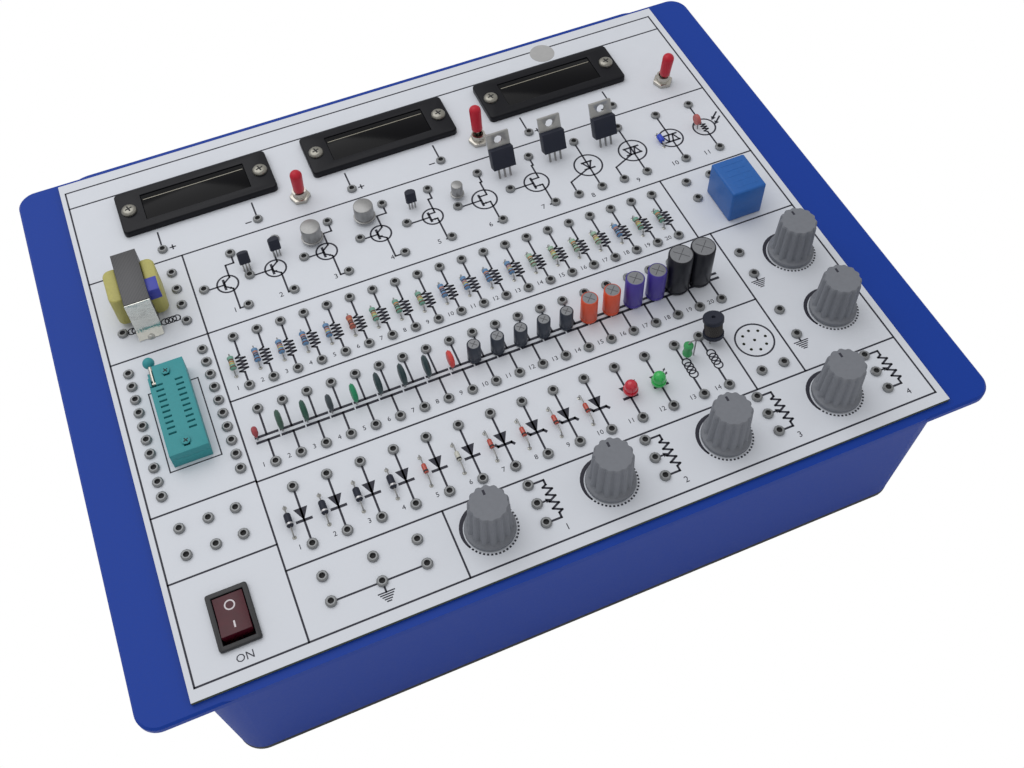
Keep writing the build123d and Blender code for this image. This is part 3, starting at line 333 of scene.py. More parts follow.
@dataclass(frozen=True)
class Island:
    """One solid of a CAD node, by the corners of its box in metres."""

    low: Vector
    high: Vector

    @property
    def centre(self) -> Vector:
        """The middle of the box."""
        return (self.low + self.high) / 2

    @property
    def size(self) -> Vector:
        """Width, depth and height in metres."""
        return self.high - self.low

    @property
    def half_w(self) -> float:
        """Half the width in millimetres."""
        return self.size.x / 2 / MM

    @property
    def half_d(self) -> float:
        """Half the depth in millimetres."""
        return self.size.y / 2 / MM

    @property
    def height(self) -> float:
        """The height in millimetres."""
        return self.size.z / MM

    @property
    def foot(self) -> Vector:
        """The middle of the underside."""
        return self.centre - Vector((0, 0, self.size.z / 2))


def cad_copy(node: str) -> Shape:
    """Copies a CAD node's mesh with its doubles merged.

    Args:
        node: the CAD node's name.

    Returns:
        The copy in the row frame.
    """
    bm = bmesh.new()
    bm.from_mesh(bpy.data.objects[node].data)
    bmesh.ops.remove_doubles(bm, verts=bm.verts, dist=MERGE)
    return bm


def flat_copy(node: str, ease: float = 0.0, angle: float = EASE_ANGLE) -> Shape:
    """Copies a CAD node without the seams in its flat faces.

    Args:
        node: the CAD node's name.
        ease: the width of a bevel on its sharp edges, in millimetres.
        angle: the least angle that gets a bevel.

    Returns:
        The copy in the row frame.
    """
    bm = cad_copy(node)
    bmesh.ops.dissolve_limit(bm, angle_limit=FLAT_ANGLE, verts=bm.verts, edges=bm.edges)
    eased(bm, ease * MM, angle)
    return bm


def islands(node: str) -> list[Island]:
    """Finds the separate solids of a CAD node.

    Args:
        node: the CAD node's name.

    Returns:
        One box for each solid, from left to right and then from back to front.
    """
    bm = cad_copy(node)
    left = set(bm.verts)
    found = []
    while left:
        group = [left.pop()]
        for vert in group:
            for edge in vert.link_edges:
                other = edge.other_vert(vert)
                if other in left:
                    left.remove(other)
                    group.append(other)
        places = [v.co for v in group]
        low = Vector([min(p[i] for p in places) for i in range(3)])
        high = Vector([max(p[i] for p in places) for i in range(3)])
        found.append(Island(low, high))
    bm.free()
    return sorted(found, key=lambda i: (round(i.centre.x, 4), -i.centre.y))


# Shapes, each in its own coordinates in metres


def fresh(bm: Shape) -> Shape:
    """Merges doubles and turns every face outwards.

    Args:
        bm: the shape, changed in place.

    Returns:
        The same shape.
    """
    bmesh.ops.remove_doubles(bm, verts=bm.verts, dist=MERGE)
    bmesh.ops.recalc_face_normals(bm, faces=bm.faces)
    return bm


def eased(bm: Shape, width: float, angle: float = radians(30)) -> None:
    """Bevels every edge that is sharper than an angle.

    Args:
        bm: the shape, changed in place.
        width: the bevel's width in metres.
        angle: the least angle between two faces that gets a bevel.
    """
    sharp = [e for e in bm.edges if len(e.link_faces) == 2 and e.calc_face_angle() > angle]
    if width > 0 and sharp:
        bmesh.ops.bevel(bm, geom=sharp, offset=width, segments=2, profile=0.5,
                        affect="EDGES", material=-1, clamp_overlap=True)


def block(w: float, d: float, h: float, ease: float = 0.0) -> Shape:
    """Makes a box that stands on the origin.

    Args:
        w: its width.
        d: its depth.
        h: its height.
        ease: the width of the bevel on its edges.

    Returns:
        The box.
    """
    bm = bmesh.new()
    bmesh.ops.create_cube(bm, size=1.0, matrix=Matrix.Diagonal((w, d, h, 1)))
    bmesh.ops.translate(bm, verts=bm.verts, vec=(0, 0, h / 2))
    eased(bm, ease)
    return bm


def lathe(profile: list[Point], steps: int = 24) -> Shape:
    """Turns a profile round the Z axis.

    Args:
        profile: radius and height of each point in millimetres, from the lower end of the axis up.
        steps: faces round the axis.

    Returns:
        The closed round solid.
    """
    bm = bmesh.new()
    verts = [bm.verts.new((r * MM, 0, z * MM)) for r, z in profile]
    edges = [bm.edges.new(pair) for pair in zip(verts, verts[1:])]
    bmesh.ops.spin(bm, geom=verts + edges, cent=(0, 0, 0), axis=(0, 0, 1), angle=2 * pi,
                   steps=steps, use_merge=True)
    return fresh(bm)


def rod(radius: float, low: float, high: float, steps: int = 24) -> Shape:
    """A plain round rod between two heights; sizes in millimetres."""
    return lathe([(0, low), (radius, low), (radius, high), (0, high)], steps)


def tube(inner: float, outer: float, low: float, high: float, steps: int = 24) -> Shape:
    """A plain ring between two heights; sizes in millimetres."""
    return lathe([(inner, low), (outer, low), (outer, high), (inner, high), (inner, low)], steps)


def dome(radius: float, low: float, high: float, points: int = 5) -> list[Point]:
    """A quarter ellipse from the wall's end at low up to the axis at high, in millimetres."""
    turns = [pi / 2 * i / points for i in range(points + 1)]
    return [(radius * cos(t), low + (high - low) * sin(t)) for t in turns]


def outline_solid(points: list[Point], height: float) -> Shape:
    """Raises a closed outline above the origin.

    Args:
        points: the outline in metres.
        height: how far it is raised.

    Returns:
        The closed solid.
    """
    bm = bmesh.new()
    face = bm.faces.new([bm.verts.new((x, y, 0)) for x, y in points])
    grown = bmesh.ops.extrude_face_region(bm, geom=[face])["geom"]
    bmesh.ops.translate(bm, verts=[v for v in grown if isinstance(v, bmesh.types.BMVert)],
                        vec=(0, 0, height))
    return fresh(bm)


def ring_loft(rings: list[list[Vector]]) -> Shape:
    """Joins closed rings of the same count into a solid with flat ends.

    Args:
        rings: the rings from the bottom to the top.

    Returns:
        The closed solid.
    """
    bm = bmesh.new()
    loops = []
    for ring in rings:
        verts = [bm.verts.new(p) for p in ring]
        loops.append([bm.edges.new((a, b)) for a, b in zip(verts, verts[1:] + verts[:1])])
    for low, high in zip(loops, loops[1:]):
        bmesh.ops.bridge_loops(bm, edges=low + high)
    bmesh.ops.contextual_create(bm, geom=loops[0])
    bmesh.ops.contextual_create(bm, geom=loops[-1])
    return fresh(bm)


def wire(points: list[Vector], radius: float, sides: int = 6) -> Shape:
    """Runs a round wire with mitred bends through points in metres.

    Args:
        points: the corners of its centre line.
        radius: the wire's radius.
        sides: faces round the wire.

    Returns:
        The closed wire.
    """
    rings = []
    for i, point in enumerate(points):
        before = (point - points[i - 1]).normalized() if i else None
        after = (points[i + 1] - point).normalized() if i + 1 < len(points) else None
        along = ((before or after) + (after or before)).normalized()
        side = along.cross(Vector((1, 0, 0)))
        side = (side if side.length > 0.1 else along.cross(Vector((0, 1, 0)))).normalized()
        up = along.cross(side)
        turns = [2 * pi * k / sides for k in range(sides)]
        rings.append([point + radius * (cos(t) * side + sin(t) * up) for t in turns])
    return ring_loft(rings)


def cross_screw(radius: float, height: float) -> Shape:
    """A domed screw head on the origin, without its recess; sizes in millimetres."""
    shares = ((0, 0), (1, 0), (1, 0.35), (0.88, 0.75), (0.62, 1), (0, 1))
    return lathe([(share * radius, rise * height) for share, rise in shares], 20)


def cross_mark(radius: float) -> Shape:
    """A dark cross of painted shade that stands for the recess in a head of a radius in
    millimetres.
    """
    return cross(0.6 * radius, 0.13 * radius, 0.12)


def hex_nut(radius: float, height: float) -> Shape:
    """Makes a six-sided nut with eased edges on the origin.

    Args:
        radius: the radius over its corners in millimetres.
        height: its height.

    Returns:
        The nut.
    """
    bm = bmesh.new()
    bmesh.ops.create_cone(bm, cap_ends=True, segments=6, radius1=radius * MM, radius2=radius * MM,
                          depth=height * MM)
    bmesh.ops.translate(bm, verts=bm.verts, vec=(0, 0, height * MM / 2))
    eased(bm, 0.25 * MM)
    return bm


def cross(arm: float, half: float, thick: float) -> Shape:
    """Crosses two thin bars on the origin.

    Args:
        arm: the length of each arm in millimetres.
        half: half of its width.
        thick: its height.

    Returns:
        The closed cross.
    """
    a, b = arm * MM, half * MM
    corners = [(b, b), (b, a), (-b, a), (-b, b), (-a, b), (-a, -b),
               (-b, -b), (-b, -a), (b, -a), (b, -b), (a, -b), (a, b)]
    return outline_solid(corners, thick * MM)


def wall_patch(radius: float, turn: float, reach: float, height: float) -> Shape:
    """Bends a thin upright patch round a cylinder.

    Args:
        radius: the cylinder's radius in millimetres.
        turn: the direction of the patch's middle, in radians.
        reach: its width as an angle.
        height: its height in millimetres.

    Returns:
        The closed patch, standing on the origin.
    """
    steps = 6
    outer, inner = radius * MM, (radius - 0.1) * MM
    turns = [turn + reach * (i / steps - 0.5) for i in range(steps + 1)]
    points = [(outer * cos(t), outer * sin(t)) for t in turns]
    points += [(inner * cos(t), inner * sin(t)) for t in reversed(turns)]
    return outline_solid(points, height * MM)


def cut(bm: Shape, place: Vector, normal: Vector, keep_above: bool) -> None:
    """Cuts a shape at a plane in place, drops one side and closes the other."""
    bmesh.ops.bisect_plane(bm, geom=bm.verts[:] + bm.edges[:] + bm.faces[:], plane_co=place,
                           plane_no=normal, clear_inner=keep_above, clear_outer=not keep_above)
    bmesh.ops.holes_fill(bm, edges=[e for e in bm.edges if e.is_boundary])


def split_node(node: str, level: float, ease: float) -> tuple[Shape, Shape]:
    """Cuts a copy of a CAD node at a height and closes both halves.

    Args:
        node: the CAD node's name.
        level: the height of the cut in the row frame.
        ease: the width of the bevel on the upper half, in millimetres.

    Returns:
        The part below the cut and the part above it.
    """
    legs, cases = flat_copy(node), flat_copy(node)
    for bm, above in ((legs, False), (cases, True)):
        cut(bm, Vector((0, 0, level)), Vector((0, 0, 1)), above)
    eased(cases, ease * MM, EASE_ANGLE)
    return fresh(legs), fresh(cases)


def step(x: float = 0.0, y: float = 0.0, z: float = 0.0) -> Vector:
    """A step in the row frame, given in millimetres."""
    return Vector((x * MM, y * MM, z * MM))


def at(point: Vector, turn: Euler = Euler()) -> Matrix:
    """A place in the row frame, with a turn about it."""
    return Matrix.Translation(point) @ turn.to_matrix().to_4x4()


class Assembly:
    """Collects shapes into one piece, each with its own finish."""

    def __init__(self, name: str, nodes: tuple[str, ...] = ()) -> None:
        """Starts an empty piece.

        Args:
            name: the piece's name.
            nodes: the CAD nodes that it stands for.
        """
        self.name = name
        self.nodes = nodes
        self.bm = bmesh.new()
        self.finishes: list[Finish] = []

    @classmethod
    def dressing(cls, node: str) -> "Assembly":
        """An empty piece that will stand for a CAD node."""
        return cls(f"{node}_dressed", (node,))

    def add(self, shape: Shape, finish: Finish, place: Matrix = Matrix.Identity(4)) -> None:
        """Moves a shape to its place and joins it to the piece.

        Args:
            shape: the shape, which is used up.
            finish: its surface.
            place: where it goes in the row frame.
        """
        if finish not in self.finishes:
            self.finishes.append(finish)
        number = self.finishes.index(finish)
        for face in shape.faces:
            face.material_index = number
        shape.transform(place)
        mesh = bpy.data.meshes.new("part")
        shape.to_mesh(mesh)
        shape.free()
        self.bm.from_mesh(mesh)
        bpy.data.meshes.remove(mesh)

    def lead(self, *points: Vector) -> None:
        """Adds a bare lead through its corners."""
        self.add(wire(list(points), LEAD_R * MM), LEAD)

    def build(self, slot: str = "", body: str = "console") -> None:
        """Makes the finished piece.

        Args:
            slot: the record's material slot, if any; not used.
            body: the CAD body that it rides on.
        """
        mesh = bpy.data.meshes.new(self.name)
        self.bm.to_mesh(mesh)
        self.bm.free()
        for finish in self.finishes:
            mesh.materials.append(PAINT.get(finish))
        mesh.shade_smooth()
        mesh.set_sharp_from_angle(angle=SMOOTH_ANGLE)
        piece = bpy.data.objects.new(self.name, mesh)
        bpy.context.scene.collection.objects.link(piece)
        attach(piece, body)
        if self.nodes:
            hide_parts(*self.nodes)
        log.info("%s: %d faces", self.name, len(mesh.polygons))


def paint_node(node: str, finish: Finish) -> None:
    """Gives a CAD node its finish and logs it.

    Args:
        node: the CAD node's name.
        finish: its surface.
    """
    mesh = bpy.data.objects[node].data
    mesh.materials.clear()
    mesh.materials.append(PAINT.get(finish))
    log.info("%s: %s", node, finish.name)


def eased_node(node: str, finish: Finish, ease: float, slot: str, body: str = "console") -> None:
    """Stands an eased copy of a CAD node in its place.

    Args:
        node: the CAD node's name.
        finish: its surface.
        ease: the width of the bevel on its sharp edges, in millimetres.
        slot: the record's material slot.
        body: the CAD body that it rides on.
    """
    piece = Assembly(f"{node}_eased", (node,))
    piece.add(flat_copy(node, ease), finish)
    piece.build(slot, body)


class Panel:
    """Turns a place on the panel into the row frame."""

    def __init__(self, frame: dict) -> None:
        """Reads the panel's corners and the pivots of the hinges.

        Args:
            frame: what the frame says of the part.
        """
        self.low, self.high = (Vector(corner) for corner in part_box("panel_board"))
        self.top = self.high.z
        self.pivots = {joint["name"]: Vector(joint["pos_m"]) for joint in frame["joints"]
                       if "pos_m" in joint}

    def at(self, x: float, y: float, z: float = 0.0) -> Vector:
        """A point x from the left edge, y from the back edge and z above the face."""
        return Vector((self.low.x + x * MM, self.high.y - y * MM, self.top + z * MM))

    def place_of(self, point: Vector) -> Point:
        """The place of a row frame point, from the left edge and the back edge."""
        return ((point.x - self.low.x) / MM, (self.high.y - point.y) / MM)

    def sockets(self, bank: str) -> list[Point]:
        """The places of a bank's sockets, by column and then from back to front."""
        return [self.place_of(island.centre) for island in islands(f"{bank}_sockets")]


# Sub-assemblies, each with its sizes in millimetres unless a name says otherwise


@dataclass(frozen=True)
class Part:
    """A sub-assembly on the panel."""

    panel: Panel

    def build(self) -> None:
        """Makes the pieces of the sub-assembly."""
        raise NotImplementedError


@dataclass(frozen=True)
class Housing(Part):
    """The nodes that keep their own form: the cabinet, the panel and what lies under it."""

    bevel: float = 0.15
    moulding: float = 0.3

    def build(self) -> None:
        """Paints the plain nodes and stands eased copies of the moulded ones."""
        finishes = {
            "cabinet_tub": BLUE_PAINT,
            "base_cover": BASE_SHEET,
            "rubber_feet": RUBBER,
            "mains_gland": BLACK_PLASTIC,
            "fuse_holder": BLACK_PLASTIC,
            "panel_board": PANEL,
            "speaker": PAPER_CONE,
            "pot_bodies": NICKEL,
            "mains_core": LAMINATION,
            "mains_winding": COIL_TAPE,
            "supply_board": BOARD_GREEN,
            "smoothing_capacitors": BLACK_PLASTIC,
            "heat_sink": TAB_METAL,
        }
        for node, finish in finishes.items():
            paint_node(node, finish)
        for number in (1, 2, 3):
            eased_node(f"meter_bezel_{number}", BEZEL, self.bevel, "bezel_black")
        eased_node("transformer_core", LAMINATION, self.bevel, "core_steel")
        eased_node("rocker_frame", BLACK_PLASTIC, self.moulding, "rocker_black")


@dataclass(frozen=True)
class BaseScrews(Part):
    """The screws that hold the bottom cover, with their heads down."""

    head_h: float = 1.9
    shank_r: float = 1.3
    cross: float = 0.9
    steps: int = 10

    def build(self) -> None:
        """Builds each head under the cover and its shank above."""
        screws = Assembly.dressing("base_screws")
        over = Euler((pi, 0, 0))
        for island in islands("base_screws"):
            rim = Vector((island.centre.x, island.centre.y, island.low.z + self.head_h * MM))
            screws.add(cross_screw(island.half_w, self.head_h), SCREW_STEEL, at(rim, over))
            # Painted shade: a dark cross in the head stands for the shadow in its recess.
            crown = rim - step(z=CROSS_LEVEL * self.head_h)
            screws.add(cross_mark(self.cross * island.half_w), BORE_SHADE, at(crown, over))
            shank = rod(self.shank_r, 0, island.height - self.head_h, self.steps)
            screws.add(shank, SCREW_STEEL, at(rim))
        screws.build("screw_steel")


@dataclass(frozen=True)
class PatchSockets(Part):
    """The plated sockets of every bank, each a ring with painted shade on the floor of its bore."""

    steps: int = 10
    bore_r: float = 1.15
    lip_r: float = 1.65
    floor_h: float = 0.45
    shoulder: float = 0.7

    def build(self) -> None:
        """Stands the rings on the places of the CAD sockets, bank by bank."""
        for bank in ("meter", "transistor", "resistor", "capacitor", "zif_side", "diode", "supply"):
            rings = Assembly.dressing(f"{bank}_sockets")
            for island in islands(f"{bank}_sockets"):
                self.add_socket(rings, island)
            rings.build("socket_metal")

    def add_socket(self, rings: Assembly, island: Island) -> None:
        """Adds one ring and a dark disc of painted shade on the floor of its bore.

        Args:
            rings: the bank's piece.
            island: the CAD socket.
        """
        outer, height = island.half_w, island.height
        ring = [(self.bore_r, 0), (outer, 0), (outer, self.shoulder * height), (self.lip_r, height),
                (self.bore_r, height), (self.bore_r, 0)]
        rings.add(lathe(ring, self.steps), SOCKET_METAL, at(island.foot))
        # Painted shade: a dark disc on the floor of the bore stands for the shadow in the hole.
        rings.add(rod(self.bore_r, 0, self.floor_h, self.steps), BORE_SHADE, at(island.foot))


@dataclass(frozen=True)
class Meters(Part):
    """The dark windows of the panel meters and the screws beside them."""

    line_back: float = 0.2
    line_w: float = 0.35
    line_share: float = 0.97
    ease: float = 0.15
    lift: float = 0.05
    cross: float = 0.8
    screw_turn: float = 0.3

    def build(self) -> None:
        """Builds the windows, each with a thin strip of painted highlight near its back edge, then
        the screws.
        """
        windows = Assembly.dressing("meter_windows")
        for island in islands("meter_windows"):
            w, d, h = island.size
            windows.add(block(w, d, h, self.ease * MM), GLASS, at(island.foot))
            # Painted highlight: a thin pale strip near the window's back edge stands for the
            # glass's reflection.
            line = island.foot + Vector((0, d / 2 - self.line_back * d, h - MM * self.lift))
            windows.add(block(self.line_share * w, self.line_w * MM, 2 * self.lift * MM),
                        GLASS_HIGHLIGHT, at(line))
        windows.build("window_dark")
        screws = Assembly.dressing("meter_screws")
        turn = Euler((0, 0, self.screw_turn))
        for island in islands("meter_screws"):
            screws.add(cross_screw(island.half_w, island.height), SCREW_STEEL, at(island.foot))
            # Painted shade: a dark cross in the head stands for the shadow in its recess.
            crown = island.foot + step(z=CROSS_LEVEL * island.height)
            screws.add(cross_mark(self.cross * island.half_w), BORE_SHADE, at(crown, turn))
        screws.build("screw_steel")


@dataclass(frozen=True)
class Toggles(Part):
    """Three bat levers with red caps in threaded, nutted bushes."""

    bush_r: float = 3.0
    bore_r: float = 2.2
    pitch: float = 0.7
    thread: float = 0.16
    nut_r: float = 4.6
    nut_h: float = 1.8
    nut_turn: float = radians(20)
    case_w: float = 8.0496
    case_d: float = 12.9
    case_ease: float = 0.3
    cap_l: float = 12.6
    foot_share: float = 0.84
    wall_share: float = 0.93
    dome_h: float = 2.2
    lever_r: float = 1.1
    pivot_profile: tuple[Point, ...] = ((0, -1.9), (1.2, -1.5), (1.9, 0), (1.5, 1.2))
    neck: float = 2.4

    def build(self) -> None:
        """Builds the bushes as one piece, and each lever and cap on its own body."""
        bushes = Assembly.dressing("toggle_bodies")
        for number, island in enumerate(islands("toggle_bodies"), 1):
            pivot = self.panel.pivots[f"toggle_{number}_throw"]
            self.add_bush(bushes, pivot, island.high.z)
            case = block(self.case_w * MM, self.case_d * MM, self.panel.low.z - island.low.z,
                         self.case_ease * MM)
            bushes.add(case, BLACK_PLASTIC, at(Vector((pivot.x, pivot.y, island.low.z))))
            self.build_lever(number, pivot)
        bushes.build("bush_nickel")

    def add_bush(self, bushes: Assembly, pivot: Vector, top: float) -> None:
        """Adds the threaded bush and the nut on it.

        Args:
            bushes: the piece that takes them.
            pivot: the lever's pivot, on the bush's axis.
            top: the height of the bush's end in the row frame.
        """
        base = Vector((pivot.x, pivot.y, self.panel.top))
        height = (top - base.z) / MM
        root = self.bush_r - self.thread
        profile = [(self.bore_r, 0), (self.bush_r, 0), (self.bush_r, self.nut_h)]
        for i in range(int((height - self.nut_h) / self.pitch)):
            low = self.nut_h + i * self.pitch
            profile += [(root, low + self.pitch / 4), (self.bush_r, low + self.pitch / 2),
                        (self.bush_r, low + self.pitch)]
        profile += [(root, height), (self.bore_r, height), (self.bore_r, 0)]
        bushes.add(lathe(profile), NICKEL, at(base))
        nut = hex_nut(self.nut_r, self.nut_h)
        bushes.add(nut, NICKEL, at(base, Euler((0, 0, self.nut_turn))))

    def build_lever(self, number: int, pivot: Vector) -> None:
        """Builds one lever along the line from its pivot to its cap.

        Args:
            number: the toggle's number.
            pivot: its pivot.
        """
        low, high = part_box(f"toggle_cap_{number}")
        aim = (low + high) / 2 - pivot
        turn = Euler((-atan2(aim.y, aim.z), 0, 0))
        length = aim.length / MM
        lever = Assembly.dressing(f"toggle_lever_{number}")
        profile = [*self.pivot_profile, (self.lever_r, self.neck), (self.lever_r, length),
                   (0, length)]
        lever.add(lathe(profile, 16), NICKEL, at(pivot, turn))
        lever.build("bush_nickel", f"toggle_{number}")
        radius, half = (high.x - low.x) / 2 / MM, self.cap_l / 2
        foot, wall = self.foot_share * radius, self.wall_share * radius
        profile = [(0, -half), (foot, -half), (wall, -half + 0.4), (wall, -half / 2)]
        cap = Assembly.dressing(f"toggle_cap_{number}")
        cap.add(lathe(profile + dome(radius, half - self.dome_h, half)), RED_CAP,
                at(pivot + aim, turn))
        cap.build("toggle_red", f"toggle_{number}")


@dataclass(frozen=True)
class Transformer(Part):
    """The small transformer: taped coil, a tab of blue tape and a dented tin strap."""

    patch_w: float = 5.6
    patch_d: float = 6.5
    patch_h: float = 5.5
    tape_t: float = 0.25
    coil_ease: float = 0.8
    strap_t: float = 0.25
    strap_rows: int = 12
    strap_reach: float = 1.2
    strap_sink: float = 0.4
    tail_share: float = 0.6
    dent: float = 0.28
    blob_r: float = 2.1
    blob_h: float = 1.5

    def build(self) -> None:
        """Builds the coil and then the strap."""
        self.build_coil()
        self.build_strap()

    def build_coil(self) -> None:
        """Eases the wound bobbin and sticks a folded tab of tape on its front right edge."""
        coil = Assembly.dressing("transformer_bobbin")
        coil.add(flat_copy("transformer_bobbin", self.coil_ease, ROUND_ANGLE), COIL_TAPE)
        low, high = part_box("transformer_bobbin")
        width, depth, drop, thick = (v * MM for v in (self.patch_w, self.patch_d, self.patch_h,
                                                      self.tape_t))
        middle = high.x - self.coil_ease * MM - width / 2
        coil.add(block(width, depth, thick, thick / 3), BLUE_TAPE,
                 at(Vector((middle, low.y + depth / 2, high.z))))
        coil.add(block(width, thick, drop, thick / 3), BLUE_TAPE,
                 at(Vector((middle, low.y - thick / 2, high.z + thick - drop))))
        coil.build("coil_tape")

    def build_strap(self) -> None:
        """Bends a thin dented strip down the front of the core and out to its soldered tabs."""
        low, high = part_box("transformer_bracket")
        core_low, core_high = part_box("transformer_core")
        middle, width, thick = (low.x + high.x) / 2, high.x - low.x, core_low.z - low.z
        strap = Assembly.dressing("transformer_bracket")
        strap.add(self.dented_strip(low, high, core_low.y), TIN)
        strap.add(block(width, core_high.y - core_low.y, thick), TIN,
                  at(Vector((middle, (core_low.y + core_high.y) / 2, low.z))))
        strap.add(block(self.tail_share * width, high.y - core_high.y, thick), TIN,
                  at(Vector((middle, (high.y + core_high.y) / 2, low.z))))
        profile = [(0, 0), (self.blob_r, 0)] + dome(0.95 * self.blob_r, 0.3, self.blob_h)
        for y in (low.y + self.blob_r * MM, high.y - self.blob_r * MM):
            strap.add(lathe(profile, 16), SOLDER, at(Vector((middle, y, low.z))))
        strap.build("bracket_tin")

    def dented_strip(self, low: Vector, high: Vector, face_y: float) -> Shape:
        """Makes the strip from the core's top front edge down to the front tab.

        Args:
            low: the lower corner of the strap's box.
            high: the upper corner.
            face_y: where the core's front face stands.

        Returns:
            The closed strip with shallow dents.
        """
        bm = bmesh.new()
        count = self.strap_rows
        rows = []
        for i in range(count + 1):
            share = i / count
            z = high.z + (low.z + self.strap_t * MM - high.z) * share
            reach = (face_y - low.y - self.strap_reach * MM) * max(0.0, 4 * share - 3) ** 2
            row = []
            for k in range(count + 1):
                across = low.x + (high.x - low.x) * k / count
                dent = self.dent * MM * sin(2.3 * i + 1.7 * k) * sin(1.1 * k - 0.7 * i) * min(1, i)
                row.append(bm.verts.new((across, face_y - self.strap_sink * MM - reach + dent, z)))
            rows.append(row)
        for upper, lower in zip(rows, rows[1:]):
            for k in range(count):
                bm.faces.new((upper[k], upper[k + 1], lower[k + 1], lower[k]))
        bmesh.ops.recalc_face_normals(bm, faces=bm.faces)
        bmesh.ops.solidify(bm, geom=bm.faces[:], thickness=self.strap_t * MM)
        return fresh(bm)


@dataclass(frozen=True)
class Axials(Part):
    """Banded bodies on bent leads: the resistor bank, the diode row and the trigger diode."""

    resistor_l: float = 6.4
    resistor_r: float = 1.3
    waist_r: float = 1.05
    dog_bone: tuple[Point, ...] = ((0.7, 0), (1.3, 0.5), (1.3, 1.1), (1.05, 1.6))
    band_w: float = 0.55
    band_pitch: float = 0.95
    band_t: float = 0.04
    end_band: float = 0.8
    diode_l: float = 5.2
    diode_r: float = 1.3
    diode_band: float = 0.7
    diode_band_at: float = 0.32
    glass_l: float = 3.8
    glass_r: float = 0.95
    shoulder: float = 0.35
    bend: float = 0.5
    solder: tuple[Point, ...] = ((0, 0), (0.85, 0), (0.5, 0.25), (0, 0.4))
    steps: int = 12

    def build(self) -> None:
        """Builds the three groups."""
        self.build_resistors()
        self.build_diodes()
        trigger = Assembly.dressing("diac")
        self.add_body(trigger, islands("diac")[0], self.barrel(self.glass_l, self.diode_r),
                      DIAC_BLUE)
        trigger.build("diac_blue")

    def barrel(self, length: float, radius: float) -> list[Point]:
        """A plain body's profile with small round shoulders and its middle at height 0."""
        half, edge = length / 2, length / 2 - self.shoulder
        return [(0, -half), (0.8 * radius, -half), (radius, -half + self.shoulder), (radius, edge),
                (0.8 * radius, half), (0, half)]

    def add_body(self, piece: Assembly, island: Island, profile: list[Point],
                 finish: Finish) -> Matrix:
        """Lays a turned body on its leads along Y.

        Args:
            piece: the piece that takes it.
            island: the CAD solid.
            profile: the body's profile.
            finish: its surface.

        Returns:
            The body's place.
        """
        height = island.height - max(radius for radius, _ in profile)
        middle = island.foot + step(z=height)
        lie = at(middle, Euler((pi / 2, 0, 0)))
        piece.add(lathe(profile, self.steps), finish, lie)
        reach = island.size.y / 2 - LEAD_R * MM
        for side in SIDES:
            corner = middle + Vector((0, side * reach, 0))
            foot = corner - step(z=height)
            piece.lead(middle + step(y=side), corner - step(y=side * self.bend),
                       corner - step(z=self.bend), foot)
            piece.add(lathe(list(self.solder), 8), SOLDER, at(foot))
        return lie

    def add_band(self, piece: Assembly, lie: Matrix, place: float, radius: float, width: float,
                 finish: Finish) -> None:
        """Adds one thin painted ring to a lying body, a distance in front of its middle."""
        ring = tube(radius - 2 * self.band_t, radius + self.band_t, place - width / 2,
                    place + width / 2, self.steps)
        piece.add(ring, finish, lie)

    def build_resistors(self) -> None:
        """Builds the bank from left to right in its mixed body colours."""
        bank = Assembly.dressing("resistors")
        half = self.resistor_l / 2
        profile = [(0, -half)] + [(radius, -half + in_by) for radius, in_by in self.dog_bone]
        profile += [(radius, half - in_by) for radius, in_by in reversed(self.dog_bone)]
        profile.append((0, half))
        for number, island in enumerate(islands("resistors")):
            lie = self.add_body(bank, island, profile, RESISTOR_BODIES[number])
            for band in range(3):
                paint = BAND_PAINTS[(3 * number + 2 * band * band + band) % len(BAND_PAINTS)]
                place = (band - 1.2) * self.band_pitch
                self.add_band(bank, lie, place, self.waist_r, self.band_w, paint)
            self.add_band(bank, lie, half - self.end_band, self.resistor_r, self.band_w,
                          BAND_PAINTS[0])
        bank.build("resistor_body")

    def build_diodes(self) -> None:
        """Builds four rectifiers, two signal diodes and four small glass diodes."""
        row = Assembly.dressing("diodes")
        for island, (body, band) in zip(islands("diodes"), DIODE_BODIES):
            length, radius = ((self.diode_l, self.diode_r) if body is MOULDED
                              else (self.glass_l, self.glass_r))
            lie = self.add_body(row, island, self.barrel(length, radius), body)
            self.add_band(row, lie, self.diode_band_at * length, radius, self.diode_band, band)
        row.build("moulded_black")


